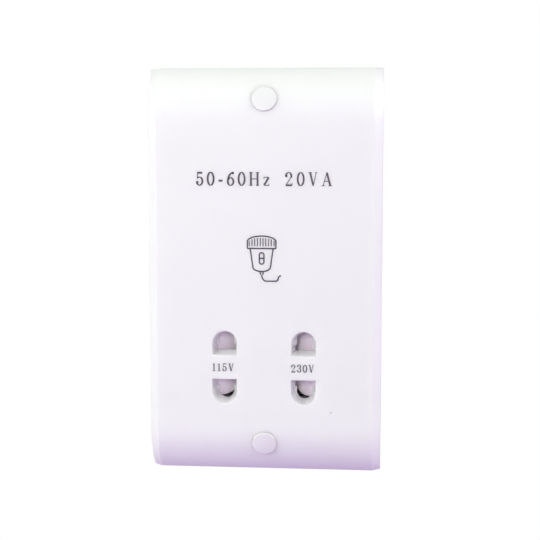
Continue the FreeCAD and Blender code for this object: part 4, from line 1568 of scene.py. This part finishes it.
@dataclass
class Fasteners:
    """All the socket's screws."""

    finishes: Finishes

    def sets(self) -> list[ScrewSet]:
        """Lists the screws by kind.

        Returns:
            The screw sets, with their sizes in millimetres.
        """
        fixing = {"head_radius": 3.3, "head_height": 2.2, "thread_start": 4.0, "pitch": 0.6}
        fixing |= {"shank_radius": 1.42, "thread_radius": 1.75}
        tapper = {"head_radius": 2.3, "head_height": 1.7, "thread_start": 0.6, "pitch": 0.9}
        tapper |= {"shank_radius": 0.85, "thread_radius": 1.2}
        bolt = {"head_radius": 2.75, "head_height": 2.0, "thread_start": 12.0, "pitch": 0.8}
        bolt |= {"shank_radius": 1.2, "thread_radius": 1.5}
        small = {"head_radius": 1.9, "head_height": 1.4, "thread_start": 0.3, "pitch": 0.6}
        clamp = small | {"shank_radius": 1.1, "thread_radius": 1.4, "point": 0.3}
        holder = small | {"shank_radius": 0.8, "thread_radius": 1.1}
        kit = self.finishes
        return [
            ScrewSet(kit, "fixing_screws", 1, 2, Tip.TO_WALL, **fixing),
            ScrewSet(kit, "housing_screws", 2, 2, Tip.TO_FRONT, **tapper),
            ScrewSet(kit, "socket_block_screws", 1, 2, Tip.TO_FRONT, **tapper),
            ScrewSet(kit, "core_screws", 2, 2, Tip.TO_WALL, **bolt),
            ScrewSet(kit, "terminal_screws", 3, 1, Tip.TO_FRONT, **clamp),
            ScrewSet(kit, "terminal_block_screws", 2, 1, Tip.TO_FRONT, **holder),
        ]

    def build(self) -> None:
        """Makes every set as one piece in the place of its solids."""
        tree = screw_tree()
        for screws in self.sets():
            screws.build(tree)


@dataclass
class Dressing:
    """Gives each solid that shows its finish."""

    finishes: Finishes

    def dress(self) -> None:
        """Assigns materials by the record's slots."""
        for row in frame["record"]["subparts"]:
            solid = frame["nodes"][row["node"]]
            if solid.hide_render:
                continue
            material = self.finishes.of_slot(Slot(row["material_slot"]))
            solid.data.materials.clear()
            solid.data.materials.append(material)
            LOG.info("%s: finished in %s", solid.name, material.name)


@dataclass(frozen=True)
class Lamp:
    """A square soft light, in metres and watts, which leaves no highlight where it has no shine."""

    name: str
    place: Place
    size: float
    watts: float
    colour: Colour
    shine: bool = True
    aim: Place = (0.0, 0.0, 0.0)

    def build(self) -> None:
        """Adds the light, unseen by the camera."""
        data = bpy.data.lights.new(self.name, "AREA")
        data.shape = "SQUARE"
        data.size = self.size
        data.energy = self.watts
        data.color = self.colour
        lamp = link_object(self.name, data)
        lamp.location = self.place
        way = Vector(self.aim) - Vector(self.place)
        lamp.rotation_euler = way.to_track_quat("-Z", "Y").to_euler()
        lamp.visible_camera = False
        lamp.visible_glossy = self.shine


@dataclass
class Studio:
    """Pale floor, soft light and the camera."""

    lamp_tone: Colour = (0.91, 1.0, 0.825)
    floor_drop: float = 0.75
    floor_half: float = 1.2
    floor_tone: Colour = (0.84, 0.83, 0.83)
    floor_shade: Colour = (0.81, 0.80, 0.80)
    backdrop: Colour = WHITE
    sky_low: Colour = (0.475, 0.29, 0.635)
    sky_high: Colour = (0.12, 0.10, 0.17)
    sky_up: Place = (-0.25, 0.0, 0.97)
    sky_band: Spot = (-0.6, 0.6)
    camera_place: Place = (0.04373, -0.45317, 0.05157)
    camera_yaw: float = 5.371
    camera_pitch: float = -6.436
    lens: float = 86.09
    sensor: float = 36.0

    def build(self) -> None:
        """Sets up everything around the socket."""
        self.build_floor()
        self.build_sky()
        for lamp in self.lamps():
            lamp.build()
        self.build_camera()
        bpy.context.scene.view_settings.view_transform = "Standard"

    def lamps(self) -> list[Lamp]:
        """Lists the lights.

        Returns:
            Two in front, one on each side, one behind and one for the floor.
        """
        tone = self.lamp_tone
        return [
            Lamp("front", (-0.08, -0.80, 0.16), 0.30, 3.05, tone, shine=False),
            Lamp("high", (-0.10, -0.60, 0.85), 0.60, 2.15, tone, shine=False),
            Lamp("left", (-0.68, -0.27, 0.12), 0.50, 3.4, tone),
            Lamp("fill", (0.86, -0.12, 0.35), 0.50, 5.2, tone),
            Lamp("behind", (-0.40, 0.90, 0.30), 0.60, 5.0, tone),
            Lamp("below", (0.0, 0.0, -0.25), 2.0, 18.0, WHITE, shine=False, aim=(0.0, 0.0, -1.0)),
        ]

    def build_floor(self) -> None:
        """Lays the floor well below the socket, where it throws no light back on it."""
        half, level = self.floor_half, -self.floor_drop
        mesh = bpy.data.meshes.new("floor")
        corners = ((-half, -half), (half, -half), (half, half), (-half, half))
        mesh.from_pydata([(x, y, level) for x, y in corners], [], [(0, 1, 2, 3)])
        finish = Moulding(
            "pale_floor",
            tone=self.floor_tone,
            shade=self.floor_shade,
            smooth=0.75,
            rough=0.85,
            cloud_mm=400.0,
            grain_mm=2.0,
            relief_mm=0.0,
            edge_mm=0.1,
        )
        mesh.materials.append(finish.material())
        floor = link_object("floor", mesh)
        floor.visible_diffuse = False
        floor.visible_glossy = False

    def build_sky(self) -> None:
        """Lights the socket from all round and shows the camera a plain pale backdrop."""
        world = bpy.data.worlds.new("studio_sky")
        world.use_nodes = True
        bpy.context.scene.world = world
        graph = Graph(world.node_tree)
        world.node_tree.nodes.clear()
        way = graph.add("ShaderNodeTexCoord").outputs["Generated"]
        rise = graph.add("ShaderNodeVectorMath", {0: way, 1: self.sky_up}, operation="DOT_PRODUCT")
        share = graph.span(rise.outputs["Value"], self.sky_band, WHOLE)
        tone = graph.blend(share, self.sky_low, self.sky_high)
        soft = graph.add("ShaderNodeBackground", {"Color": tone, "Strength": 1.0})
        plain = graph.add("ShaderNodeBackground", {"Color": opaque(self.backdrop), "Strength": 1.0})
        seen = graph.add("ShaderNodeLightPath").outputs["Is Camera Ray"]
        both = graph.add("ShaderNodeMixShader", {0: seen, 1: soft.outputs[0], 2: plain.outputs[0]})
        graph.add("ShaderNodeOutputWorld", {"Surface": both.outputs[0]})

    def build_camera(self) -> None:
        """Stands the camera where the photograph was taken from."""
        data = bpy.data.cameras.new("camera")
        data.lens = self.lens
        data.sensor_width = self.sensor
        camera = link_object("camera", data)
        camera.location = self.camera_place
        tilt = math.radians(90.0 + self.camera_pitch)
        camera.rotation_euler = (tilt, 0.0, math.radians(self.camera_yaw))
        bpy.context.scene.camera = camera


def main() -> None:
    """Builds the socket's pieces, dresses its solids and sets up the studio."""
    logging.basicConfig(level=logging.INFO, format="%(message)s")
    finishes = Finishes()
    ribbons = Ribbons()
    FrontPrint(ribbons, finishes).build()
    TerminalMarks(ribbons, finishes).build()
    ReturnSprings(finishes).build()
    Fasteners(finishes).build()
    ScrewCaps(finishes).build()
    Dressing(finishes).dress()
    Studio().build()


if __name__ == "__main__":
    main()
